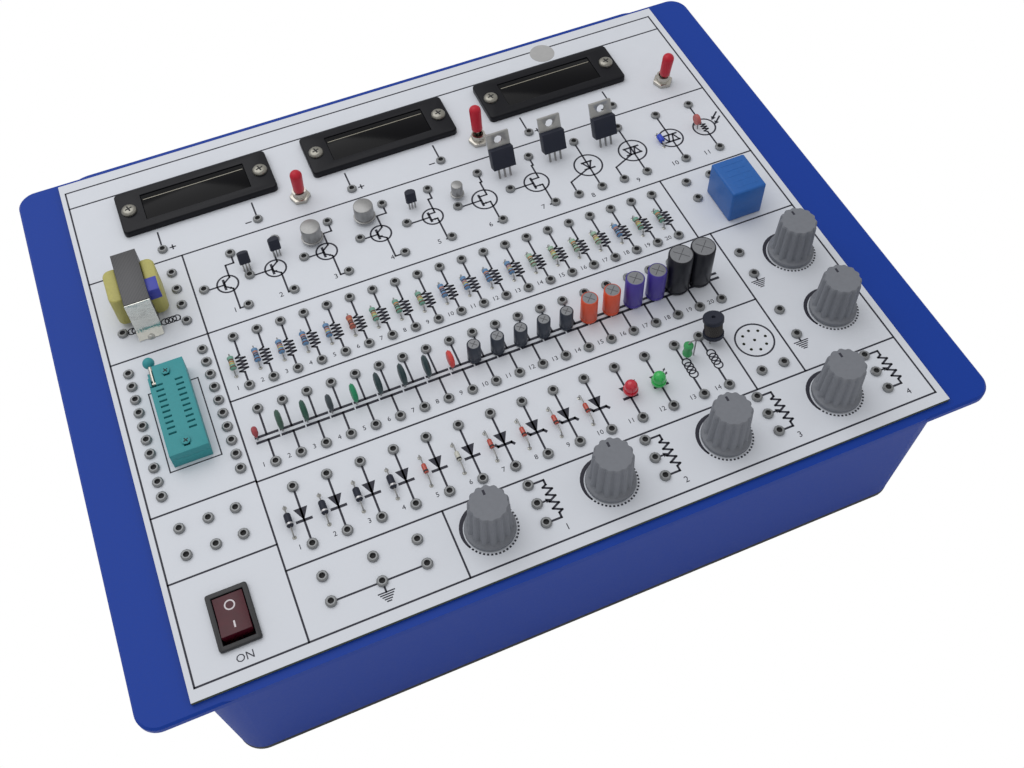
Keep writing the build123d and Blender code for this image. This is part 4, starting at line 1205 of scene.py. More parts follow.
@dataclass(frozen=True)
class Capacitors(Part):
    """The capacitor bank: dipped discs on edge, then sleeved cans."""

    spread: float = 2.5
    lens: tuple[Point, ...] = ((0.5, 0.96), (0.85, 0.66))
    neck: float = 2.05
    drip: tuple[Point, ...] = ((0, 0), (0.4, 0), (0.75, 0.9), (0.9, 1.6), (0, 1.6))
    groove: float = 0.22
    rim: float = 0.5
    plate_gap: float = 0.05
    stripe_turn: float = radians(75)
    stripe_reach: float = radians(46)
    stripe_low: float = 2.4
    stripe_short: float = 3.0

    def build(self) -> None:
        """Builds the discs and then the cans."""
        discs = Assembly.dressing("disc_capacitors")
        for island, finish in zip(islands("disc_capacitors"), DISC_BODIES):
            self.add_disc(discs, island, finish)
        discs.build("disc_body")
        cans = Assembly.dressing("electrolytic_capacitors")
        for island, (sleeve, mark) in zip(islands("electrolytic_capacitors"), SLEEVES):
            self.add_can(cans, island, sleeve, mark)
        cans.build("can_sleeve")

    def add_disc(self, piece: Assembly, island: Island, finish: Finish) -> None:
        """Stands a lens-shaped disc on edge along Y, on two leads.

        Args:
            piece: the piece that takes it.
            island: the CAD solid.
            finish: the disc's coat.
        """
        radius, half = island.half_d, island.half_w
        middle = Vector((island.centre.x, island.centre.y, island.high.z - radius * MM))
        lens = [(0, -half)] + [(r * radius, -h * half) for r, h in self.lens] + [(radius, 0)]
        lens += [(r * radius, h * half) for r, h in reversed(self.lens)] + [(0, half)]
        piece.add(lathe(lens, 20), finish, at(middle, ON_EDGE))
        for side in SIDES:
            foot = island.foot + step(y=side * self.spread / 2)
            piece.lead(foot, Vector((foot.x, foot.y, middle.z)))
            neck = Vector((foot.x, foot.y, island.high.z - self.neck * radius * MM))
            piece.add(lathe(list(self.drip), 8), finish, at(neck))

    def add_can(self, piece: Assembly, island: Island, sleeve: Finish, mark: Finish) -> None:
        """Stands a sleeved can with a crimped foot, a bright top with a vent cross of painted
        shade, and a stripe.

        Args:
            piece: the piece that takes it.
            island: the CAD solid.
            sleeve: the finish of its wall.
            mark: the finish of its stripe.
        """
        radius, height, base = island.half_w, island.height, island.foot
        inner = radius - self.rim
        wall = [(0, 0.3), (0.92 * radius, 0.3), (radius, 0.7), (radius, 1.5),
                (radius - self.groove, 1.9), (radius, 2.3), (radius, height - 0.45),
                (radius - 0.35, height), (inner, height - 0.05), (inner, height - 0.5),
                (0, height - 0.5)]
        piece.add(lathe(wall, 28), sleeve, at(base))
        plate_r = inner - self.plate_gap
        plate = [(0, height - 0.6), (plate_r, height - 0.6), (plate_r, height - 0.15),
                 (0, height - 0.12)]
        piece.add(lathe(plate, 24), SLEEVE_TOP, at(base))
        # Painted shade: a darker cross stands for the shadow in the scored vent.
        vent = cross(0.75 * plate_r, 0.14, 0.1)
        piece.add(vent, VENT_SHADE, at(base + step(z=height - 0.2), Euler((0, 0, pi / 4))))
        stripe = wall_patch(radius + 0.03, self.stripe_turn, self.stripe_reach,
                            height - self.stripe_short)
        piece.add(stripe, mark, at(base + step(z=self.stripe_low)))
        for side in SIDES:
            foot = base + step(x=side * radius / 2)
            piece.lead(foot, foot + step(z=0.6))


@dataclass(frozen=True)
class Transistors(Part):
    """Moulded cases, metal cans, tab devices and the photocell."""

    case_stand: float = 3.2
    case_ease: float = 0.2
    can_stand: float = 1.6
    brim_h: float = 0.5
    steps: int = 28
    tab_stand: float = 4.4
    tab_ease: float = 0.3
    tab_lean: float = 22.0
    device_h: float = 20.6
    device_t: float = 4.4
    body_h: float = 14.25
    cell_steps: int = 24
    track_w: float = 0.35
    track_gap: float = 0.75
    tracks: tuple[Point, ...] = ((-1, 1.1), (0, 1.5), (1, 1.1))
    cell_spread: float = 1.25

    def build(self) -> None:
        """Builds the four groups."""
        self.build_small()
        self.build_cans()
        self.build_tabs()
        self.build_photocell()

    def build_small(self) -> None:
        """Parts the moulded cases from their leads and eases them."""
        legs, cases = split_node("small_transistors", self.panel.top + self.case_stand * MM,
                                 self.case_ease)
        piece = Assembly.dressing("small_transistors")
        piece.add(legs, LEAD)
        piece.add(cases, MOULDED)
        piece.build("moulded_black")

    def build_cans(self) -> None:
        """Turns each can with its brim and leads."""
        piece = Assembly.dressing("can_transistors")
        stand = self.can_stand
        for island in islands("can_transistors"):
            outer, height = island.half_w, island.height
            radius = outer - self.brim_h
            wall = [(0, stand), (outer, stand), (outer, stand + self.brim_h),
                    (radius, stand + self.brim_h + 0.15), (radius, height - 0.5),
                    (radius - 0.15, height - 0.15), (radius - 0.5, height), (0, height)]
            piece.add(lathe(wall, self.steps), CAN_METAL, at(island.foot))
            for turn in (0, 2 * pi / 3, 4 * pi / 3):
                foot = island.foot + Vector((cos(turn), sin(turn), 0)) * (radius * MM / 2)
                piece.lead(foot, foot + step(z=1.1 * stand))
        piece.build("can_metal")

    def build_tabs(self) -> None:
        """Parts each tab device into leads, moulded body and bright tab."""
        piece = Assembly.dressing("power_devices")
        legs, bodies = split_node("power_devices", self.panel.top + self.tab_stand * MM,
                                  self.tab_ease)
        piece.add(legs, LEAD)
        lean = radians(self.tab_lean)
        axis = Vector((0, sin(lean), cos(lean)))
        back = self.device_h * sin(lean) + self.device_t / 2 * cos(lean)
        for island in islands("power_devices"):
            foot = Vector((island.centre.x, island.high.y - back * MM, self.panel.top))
            seam = foot + axis * self.body_h * MM
            for is_tab, finish in ((False, MOULDED), (True, TAB_METAL)):
                part = bodies.copy()
                others = [v for v in part.verts if abs(v.co.x - foot.x) > island.size.x]
                bmesh.ops.delete(part, geom=others, context="VERTS")
                cut(part, seam, axis, is_tab)
                piece.add(fresh(part), finish)
        bodies.free()
        piece.build("can_metal")

    def build_photocell(self) -> None:
        """Stands the round cell on edge, with its comb track on the face."""
        island = islands("photocell")[0]
        radius, half = island.half_d, island.half_w
        middle = Vector((island.centre.x, island.centre.y, island.high.z - radius * MM))
        lie = at(middle, ON_EDGE)
        piece = Assembly.dressing("photocell")
        profile = [(0, -half), (radius - 0.2, -half), (radius, -half + 0.3), (radius, half - 0.4),
                   (radius - 0.3, half - 0.06), (0, half - 0.06)]
        piece.add(lathe(profile, self.cell_steps), PHOTOCELL, lie)
        for row, share in self.tracks:
            bar = block(self.track_w * MM, share * radius * MM, 0.06 * MM)
            place = step(row * self.track_gap, 0, half - 0.08)
            piece.add(bar, TRACK, lie @ Matrix.Translation(place))
        for side in SIDES:
            foot = island.foot + step(y=side * self.cell_spread)
            piece.lead(foot, Vector((foot.x, foot.y, middle.z)))
        piece.build("photocell_face")


@dataclass(frozen=True)
class SmallParts(Part):
    """The two lamps, the standing coil and the wound drum."""

    brim_h: float = 1.0
    brim_w: float = 0.4
    stand: float = 2.4
    loop: float = 3.0
    bend: float = 0.8
    coil_r: float = 1.9
    coil_stand: float = 2.0
    coil_l: float = 7.0
    bulge: tuple[Point, ...] = ((0.6, 0), (1, 0.7), (1, 1.8), (0.88, 2.3))
    drum_spot: Point = (222.2, 188.2)
    drum_r: float = 4.1
    waist_r: float = 3.0
    drum_h: float = 9.5
    drum_rim: float = 1.8
    drum_stand: float = 3.6
    drum_lean: float = 14.0
    turn_pitch: float = 0.5

    def build(self) -> None:
        """Builds the three groups."""
        self.build_lamps()
        self.build_coil()
        self.build_drum()

    def build_lamps(self) -> None:
        """Turns the red and the green lamp with their rims."""
        piece = Assembly.dressing("indicator_lamps")
        for island, lens in zip(islands("indicator_lamps"), LENS.values()):
            brim, height = island.half_w, island.height
            radius = brim - self.brim_w
            shelf = self.stand + self.brim_h
            wall = [(0, self.stand), (brim, self.stand), (brim, shelf), (radius, shelf)]
            bulb = lathe(wall + dome(radius, height - radius, height, 7), 28)
            piece.add(bulb, lens, at(island.foot))
            for side in SIDES:
                foot = island.foot + step(x=side * radius / 2)
                piece.lead(foot, foot + step(z=1.1 * self.stand))
        piece.build("lamp_lens")

    def build_coil(self) -> None:
        """Stands the green coil on one lead, with the other bent back down beside it."""
        island = islands("axial_inductor")[0]
        foot = Vector((island.low.x + self.coil_r * MM, island.centre.y, island.low.z))
        piece = Assembly.dressing("axial_inductor")
        half = self.coil_l / 2
        body = [(0, -half)] + [(r * self.coil_r, -half + h) for r, h in self.bulge]
        body += [(r * self.coil_r, half - h) for r, h in reversed(self.bulge)] + [(0, half)]
        piece.add(lathe(body, 20), COIL_GREEN, at(foot + step(z=self.coil_stand + half)))
        top = foot + Vector((0, 0, island.size.z - LEAD_R * MM))
        reach, bend, dip = step(x=self.loop), step(x=self.bend), step(z=self.bend)
        piece.lead(foot, top - dip, top + bend, top + reach - bend, top + reach - dip, foot + reach)
        piece.build("inductor_green")

    def build_drum(self) -> None:
        """Turns the leaning drum with its winding, on two leads that bend at the body."""
        low = self.panel.at(*self.drum_spot)
        place = at(low, Euler((-radians(self.drum_lean), 0, 0)))
        piece = Assembly.dressing("drum_choke")
        start, end = self.drum_stand, self.drum_stand + self.drum_h
        lower, upper = start + self.drum_rim, end - self.drum_rim
        drum = [(0, start), (self.drum_r - 0.3, start), (self.drum_r, start + 0.3),
                (self.drum_r, lower), (self.waist_r, lower), (self.waist_r, upper),
                (self.drum_r, upper), (self.drum_r, end - 0.3), (self.drum_r - 0.3, end),
                (0.8, end), (0.6, end - 0.8), (0, end - 0.8)]
        piece.add(lathe(drum, 28), MOULDED, place)
        rows = int((self.drum_h - 2 * self.drum_rim) / self.turn_pitch)
        pitch = (self.drum_h - 2 * self.drum_rim) / rows
        root, crest = self.waist_r + 0.35, self.waist_r + 0.6
        wound = [(0, lower)]
        for row in range(rows):
            wound += [(root, lower + row * pitch), (crest, lower + row * pitch + pitch / 2)]
        wound += [(root, upper), (0, upper)]
        piece.add(lathe(wound, 24), WINDING, place)
        for side in SIDES:
            across = side * self.waist_r / 2
            piece.lead(low + step(x=across), place @ step(across, 0, start + 1.0))
        piece.build("moulded_black")


@dataclass(frozen=True)
class Relay(Part):
    """The sealed relay with faint ribs on its lid."""

    ribs: int = 5
    rib_w: float = 0.35
    rib_h: float = 0.12
    rib_ease: float = 0.04
    rib_share: float = 0.7
    rib_short: float = 0.12
    ease: float = 0.2
    ease_angle: float = radians(25)

    def build(self) -> None:
        """Builds the case and its ribs just inside the top of the CAD case."""
        low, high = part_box("relay")
        piece = Assembly.dressing("relay")
        piece.add(flat_copy("relay", self.ease, self.ease_angle), RELAY_BLUE)
        width, depth = high.x - low.x, high.y - low.y
        for row in range(self.ribs):
            y = low.y + depth * (row + 1) / (self.ribs + 1)
            length = self.rib_share * width * (1 - self.rib_short * (row % 2))
            rib = block(length, self.rib_w * MM, self.rib_h * MM, self.rib_ease * MM)
            place = Vector(((low.x + high.x) / 2, y, high.z - self.rib_h * MM / 2))
            piece.add(rib, RELAY_BLUE, at(place))
        piece.build("relay_blue")


@dataclass(frozen=True)
class LeverSocket(Part):
    """The lever socket: base with its screws, sliding plate, rod and ball."""

    ease: float = 0.25
    base_ease: float = 0.12
    screw_dy: float = 16.6
    screw_z: float = 0.56
    screw_turn: float = 0.5
    head_r: float = 1.7
    rod_r: float = 0.75
    ball_r: float = 2.3
    hub_r: float = 0.8
    hub_half: float = 0.7

    def build(self) -> None:
        """Builds the three pieces on their own bodies."""
        self.build_base()
        eased_node("zif_slider", TEAL, self.ease, "zif_teal", "zif_slider")
        self.build_lever()

    def build_base(self) -> None:
        """Eases the base and puts a dark cross of painted shade in each screw head for its recess.
        """
        low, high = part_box("zif_slider")
        piece = Assembly.dressing("zif_base")
        piece.add(flat_copy("zif_base", self.base_ease, ROUND_ANGLE), TEAL)
        middle = Vector(((low.x + high.x) / 2, (low.y + high.y) / 2, high.z))
        for side in SIDES:
            spot = middle + step(y=side * self.screw_dy, z=self.screw_z)
            # Painted shade: a dark cross stands for the shadow in the screw's recess.
            piece.add(cross_mark(self.head_r), BORE_SHADE, at(spot, Euler((0, 0, self.screw_turn))))
        piece.build("zif_teal")

    def build_lever(self) -> None:
        """Turns the bright rod from its hub to the round ball."""
        pivot = self.panel.pivots["zif_lever_lift"]
        _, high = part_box("zif_lever")
        end = Vector((pivot.x, high.y - self.ball_r * MM, pivot.z))
        piece = Assembly.dressing("zif_lever")
        piece.add(wire([pivot, end], self.rod_r * MM, 14), NICKEL)
        hub = rod(self.hub_r, -self.hub_half, self.hub_half, 14)
        piece.add(hub, NICKEL, at(pivot, ON_EDGE))
        ball = bmesh.new()
        bmesh.ops.create_uvsphere(ball, u_segments=24, v_segments=14, radius=self.ball_r * MM)
        piece.add(ball, TEAL, at(end))
        piece.build("zif_teal", "zif_lever")


@dataclass(frozen=True)
class Rocker(Part):
    """The mains rocker: a glossy paddle with its O and I marks."""

    ease: float = 0.35
    mark_t: float = 0.06
    ring_r: float = 1.9
    ring_w: float = 0.5
    bar_w: float = 0.6
    bar_l: float = 3.0

    def build(self) -> None:
        """Builds the paddle and lays the marks on its two faces."""
        piece = Assembly.dressing("rocker_paddle")
        piece.add(flat_copy("rocker_paddle", self.ease, ROUND_ANGLE), ROCKER_RED)
        ring = tube(self.ring_r - self.ring_w, self.ring_r, 0, self.mark_t)
        piece.add(ring, WHITE_INK, self.face_place(back=True))
        bar = block(self.bar_w * MM, self.bar_l * MM, self.mark_t * MM)
        piece.add(bar, WHITE_INK, self.face_place(back=False))
        piece.build("rocker_red", "rocker")

    def face_place(self, back: bool) -> Matrix:
        """Finds the middle and the slope of one face of the paddle.

        Args:
            back: whether it is the back face.

        Returns:
            The place on the face.
        """
        bm = flat_copy("rocker_paddle")
        middle = sum((v.co.y for v in bm.verts), 0.0) / len(bm.verts)
        tops = [f for f in bm.faces
                if f.normal.z > 0.9 and (f.calc_center_median().y > middle) == back]
        face = max(tops, key=lambda f: f.calc_area())
        turn = Vector((0, 0, 1)).rotation_difference(face.normal).to_matrix().to_4x4()
        spot = face.calc_center_median() - face.normal * self.mark_t * MM / 2
        bm.free()
        return Matrix.Translation(spot) @ turn


@dataclass(frozen=True)
class Knobs(Part):
    """Six skirted knobs with soft flutes and a dark pointer line."""

    lobes: int = 14
    turns: int = 112
    flute: float = 0.42
    skirt_h: float = 2.0
    skirt_w: float = 1.3
    draft: float = 0.8
    shaft_r: float = 3.0
    pointer_w: float = 0.9
    pointer_l: float = 2.0
    pointer_h: float = 0.1
    pointer_at: float = 0.6
    lift: float = 0.5

    def build(self) -> None:
        """Builds each knob on its own body."""
        for number in range(1, 7):
            self.build_knob(number)

    def build_knob(self, number: int) -> None:
        """Builds one knob from rings that are fluted between skirt and top.

        Args:
            number: the knob's number.
        """
        low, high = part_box(f"knob_{number}")
        axis = Vector(((low.x + high.x) / 2, (low.y + high.y) / 2, self.panel.top))
        top = (high.z - self.panel.top) / MM
        skirt_r = (high.x - low.x) / 2 / MM
        body_r = skirt_r - self.skirt_w
        crown_r = body_r - self.draft
        start = self.lift + self.skirt_h
        rings = [(skirt_r - 0.2, self.lift, 0.0), (skirt_r, self.lift + 0.3, 0.0),
                 (skirt_r - 0.1, start - 0.3, 0.0), (body_r + 0.3, start, 0.0),
                 (body_r, start + 0.8, 1.0), (crown_r + 0.2, top - 1.2, 1.0),
                 (crown_r, top - 0.5, 0.7), (crown_r - 0.5, top, 0.4)]
        piece = Assembly.dressing(f"knob_{number}")
        piece.add(ring_loft([self.ring(*ring) for ring in rings]), KNOB_GREY, at(axis))
        shaft = rod(self.shaft_r, (low.z - self.panel.top) / MM, self.lift + 1)
        piece.add(shaft, NICKEL, at(axis))
        line = block(self.pointer_w * MM, self.pointer_l * MM, self.pointer_h * MM, 0.03 * MM)
        piece.add(line, INK, at(axis + step(y=self.pointer_at * crown_r, z=top - 0.08)))
        piece.build("knob_grey", f"knob_{number}")

    def ring(self, radius: float, z: float, share: float) -> list[Vector]:
        """Draws one ring of the knob's wall.

        Args:
            radius: its radius.
            z: its height.
            share: its share of the flutes' full depth.

        Returns:
            The ring's points in metres.
        """
        points = []
        for i in range(self.turns):
            turn = 2 * pi * i / self.turns
            wave = 0.5 + 0.5 * cos(self.lobes * turn)
            reach = (radius - share * self.flute * 2 * (1 - wave) ** 1.5) * MM
            points.append(Vector((reach * cos(turn), reach * sin(turn), z * MM)))
        return points


@dataclass(frozen=True)
class Sticker(Part):
    """A plain round grey paper seal near the back edge of the panel."""

    spot: Point = (229.1, 8.3)
    radius: float = 5.9
    thick: float = 0.1
    edge: float = 0.05

    def build(self) -> None:
        """Lays the seal on the panel."""
        piece = Assembly("paper_seal")
        profile = [(0, 0), (self.radius, 0), (self.radius - self.edge, self.thick), (0, self.thick)]
        piece.add(lathe(profile, 40), STICKER, at(self.panel.at(*self.spot)))
        piece.build()


def characters(words: str, size: float, height: float) -> Shape:
    """Makes solid characters, centred on the origin.

    Args:
        words: the characters.
        size: their height in metres.
        height: how far they stand up.

    Returns:
        The closed characters.
    """
    curve = bpy.data.curves.new("characters", "FONT")
    curve.body = words
    curve.size = 1.35 * size
    curve.extrude = height / 2
    curve.resolution_u = 2
    curve.align_x = "CENTER"
    curve.align_y = "CENTER"
    holder = bpy.data.objects.new("characters", curve)
    bpy.context.scene.collection.objects.link(holder)
    graph = bpy.context.evaluated_depsgraph_get()
    mesh = bpy.data.meshes.new_from_object(holder.evaluated_get(graph))
    bm = bmesh.new()
    bm.from_mesh(mesh)
    bmesh.ops.translate(bm, verts=bm.verts, vec=(0, 0, height / 2))
    bpy.data.objects.remove(holder)
    bpy.data.curves.remove(curve)
    bpy.data.meshes.remove(mesh)
    return fresh(bm)


@dataclass
class Print:
    """Thin raised ink on the panel; places and sizes are panel millimetres."""

    panel: Panel
    name: str = "print"
    thick: float = 0.05
    sink: float = 0.02
    clear: float = 2.3
    head_turn: float = 0.45

    def __post_init__(self) -> None:
        """Starts the piece that takes the ink."""
        self.piece = Assembly(self.name)
        self.depth = self.thick + self.sink

    def build(self) -> None:
        """Draws the print and makes it one piece."""
        self.draw()
        self.piece.build()

    def draw(self) -> None:
        """Lays the ink."""
        raise NotImplementedError

    def line(self, points: list[Point], width: float = 0.6) -> None:
        """Draws straight strokes from point to point, each a little longer than its run.

        Args:
            points: the places that the strokes join.
            width: their width.
        """
        for start, end in zip(points, points[1:]):
            a, b = self.panel.at(*start, -self.sink), self.panel.at(*end, -self.sink)
            along = b - a
            bar = block(along.length + 0.9 * width * MM, width * MM, self.depth * MM)
            turn = Euler((0, 0, atan2(along.y, along.x)))
            self.piece.add(bar, INK, at((a + b) / 2, turn))

    def box(self, corners: tuple[float, float, float, float], width: float) -> None:
        """Draws a frame from its left, back, right and front."""
        left, back, right, front = corners
        self.line([(left, back), (right, back), (right, front), (left, front), (left, back)], width)

    def fill(self, points: list[Point]) -> None:
        """Fills a closed outline.

        Args:
            points: the outline's corners.
        """
        places = [self.panel.at(*p, -self.sink) for p in points]
        base = places[0]
        flat = [((p - base).x, (p - base).y) for p in places]
        self.piece.add(outline_solid(flat, self.depth * MM), INK, at(base))

    def circle(self, centre: Point, radius: float, width: float, steps: int) -> None:
        """Draws a closed ring that has a number of faces."""
        ring = tube(radius - width / 2, radius + width / 2, 0, self.depth, steps)
        self.piece.add(ring, INK, at(self.panel.at(*centre, -self.sink)))

    def strip(self, centre: Point, turns: list[float], outer: list[float], inner: float) -> None:
        """Draws a bent strip; its angles run clockwise from the right as seen from above.

        Args:
            centre: the middle of the bend.
            turns: the angles along it.
            outer: the outer radius at each angle.
            inner: the inner radius.
        """
        x, y = centre
        points = [(x + r * cos(t), y + r * sin(t)) for t, r in zip(turns, outer)]
        points += [(x + inner * cos(t), y + inner * sin(t)) for t in reversed(turns)]
        self.fill(points)

    def arrow(self, tip: Point, turn: float, size: float = 1.4) -> None:
        """Draws a filled arrow head that has its tip at a place and points along an angle."""
        x, y = tip
        self.fill([tip] + [(x - size * cos(turn + side), y - size * sin(turn + side))
                           for side in (-self.head_turn, self.head_turn)])

    def text(self, words: str, place: Point, size: float) -> None:
        """Sets plain characters round a place."""
        base = self.panel.at(*place, -self.sink)
        self.piece.add(characters(words, size * MM, self.depth * MM), INK, at(base))


@dataclass
class GridPrint(Print):
    """The frame round the panel and the lines between its cells."""

    name: str = "grid_print"
    left: float = 2.3
    right: float = 286.9
    back: float = 5.4
    front: float = 241.5
    title_y: float = 15.2
    meter_y: float = 60.4
    transistor_y: float = 104.3
    resistor_y: float = 139.2
    capacitor_y: float = 176.5
    diode_y: float = 214.0
    column_x: float = 41.4
    socket_cell_y: float = 175.9
    mains_cell_y: float = 203.1
    relay_x: float = 242.2
    supply_x: float = 247.7
    speaker_x: float = 226.9
    fixed_x: float = 99.2
    width: float = 0.7

    def draw(self) -> None:
        """Draws the frame, the rows and the columns of the grid."""
        self.box((self.left, self.back, self.right, self.front), self.width)
        rows = ((self.title_y, self.left, self.right),
                (self.meter_y, self.left, self.right),
                (self.transistor_y, self.left, self.right),
                (self.socket_cell_y, self.left, self.column_x),
                (self.mains_cell_y, self.left, self.column_x),
                (self.resistor_y, self.column_x, self.right),
                (self.capacitor_y, self.column_x, self.supply_x),
                (self.diode_y, self.column_x, self.right))
        for y, start, end in rows:
            self.line([(start, y), (end, y)], self.width)
        columns = ((self.column_x, self.meter_y, self.front),
                   (self.relay_x, self.transistor_y, self.resistor_y),
                   (self.supply_x, self.resistor_y, self.diode_y),
                   (self.speaker_x, self.capacitor_y, self.diode_y),
                   (self.fixed_x, self.diode_y, self.front))
        for x, start, end in columns:
            self.line([(x, start), (x, end)], self.width)


@dataclass
class BankPrint(Print):
    """The symbols and index numbers of the resistor, capacitor and diode columns."""

    name: str = "bank_print"
    zig_from: float = 119.5
    zig_to: float = 128.0
    teeth: int = 5
    tooth: float = 1.7
    plate_gap: float = 2.4
    plate_half: float = 4.1
    plate_y: float = 158.5
    diode_y: float = 195.3
    triangle: float = 2.6
    bar_bend: Point = (0.7, 0.9)
    bent: range = range(7, 11)
    lit: range = range(11, 13)
    ray: tuple[Point, ...] = ((2.4, 0.0), (4.2, -1.6), (4.9, -2.2))
    ray_turn: float = -0.72
    coil_r: float = 1.7
    coil_pitch: float = 1.9
    stroke: float = 0.8
    heavy: float = 1.1
    number_dx: float = 4.4
    number_dy: float = 0.6
    number_size: float = 2.1

    def draw(self) -> None:
        """Draws the three rows with their numbers."""
        for bank, symbol in (("resistor", self.resistor), ("capacitor", self.capacitor)):
            places = self.panel.sockets(bank)
            for number, (top, low) in enumerate(zip(places[::2], places[1::2]), 1):
                symbol(top, low)
                self.index(number, low)
        places = self.panel.sockets("diode")
        pairs = [(a, b) for a, b in zip(places, places[1:]) if abs(a[0] - b[0]) < 1.0]
        for number, (top, low) in enumerate(pairs, 1):
            if number < self.lit.stop:
                self.diode(number, top, low)
            else:
                self.coil(top, low)
            self.index(number, low)

    def index(self, number: int, low: Point) -> None:
        """Sets the number beside the lower socket of a column."""
        place = (low[0] - self.number_dx, low[1] - self.number_dy)
        self.text(str(number), place, self.number_size)

    def resistor(self, top: Point, low: Point) -> None:
        """Draws a toothed line between two sockets.

        Args:
            top: the upper socket.
            low: the lower socket.
        """
        x = top[0]
        pitch = (self.zig_to - self.zig_from) / (2 * self.teeth)
        points = [(x, top[1] + self.clear), (x, self.zig_from)]
        for i in range(2 * self.teeth - 1):
            side = self.tooth if i % 2 else -self.tooth
            points.append((x + side, self.zig_from + (i + 1) * pitch))
        points += [(x, self.zig_to), (x, low[1] - self.clear)]
        self.line(points, self.stroke)

    def capacitor(self, top: Point, low: Point) -> None:
        """Draws two plates between two sockets.

        Args:
            top: the upper socket.
            low: the lower socket.
        """
        x = top[0]
        second = self.plate_y + self.plate_gap
        self.line([(x, top[1] + self.clear), (x, self.plate_y)], self.stroke)
        self.line([(x, second), (x, low[1] - self.clear)], self.stroke)
        for y in (self.plate_y, second):
            self.line([(x - self.plate_half, y), (x + self.plate_half, y)], self.heavy)

    def diode(self, number: int, top: Point, low: Point) -> None:
        """Draws one diode, with a bent bar or with two small arrows where its number asks.

        Args:
            number: the diode's number.
            top: the upper socket.
            low: the lower socket.
        """
        x, size, y = top[0], self.triangle, self.diode_y
        self.line([(x, top[1] + self.clear), (x, low[1] - self.clear)], self.stroke)
        self.fill([(x - size, y - size), (x + size, y - size), (x, y + size)])
        bar = [(x - size, y + size), (x + size, y + size)]
        if number in self.bent:
            dx, dy = self.bar_bend
            bar = [(x - size - dx, y + size - dy)] + bar + [(x + size + dx, y + size + dy)]
        self.line(bar, self.heavy)
        if number in self.lit:
            for shift in (0.0, 1.8):
                start, end, tip = [(x + dx, y - shift + dy) for dx, dy in self.ray]
                self.line([start, end], 0.4)
                self.arrow(tip, self.ray_turn, 1.2)

    def coil(self, top: Point, low: Point) -> None:
        """Draws four turns between two sockets.

        Args:
            top: the upper socket.
            low: the lower socket.
        """
        x, half, pitch = top[0], self.coil_r / 2, self.coil_pitch
        start = self.diode_y - 2 * pitch
        self.line([(x, top[1] + self.clear), (x, start - half)], self.stroke)
        for turn in range(4):
            self.circle((x + half, start + (turn + 0.5) * pitch), self.coil_r, 0.55, 16)
        self.line([(x, start + 4 * pitch + half), (x, low[1] - self.clear)], self.stroke)


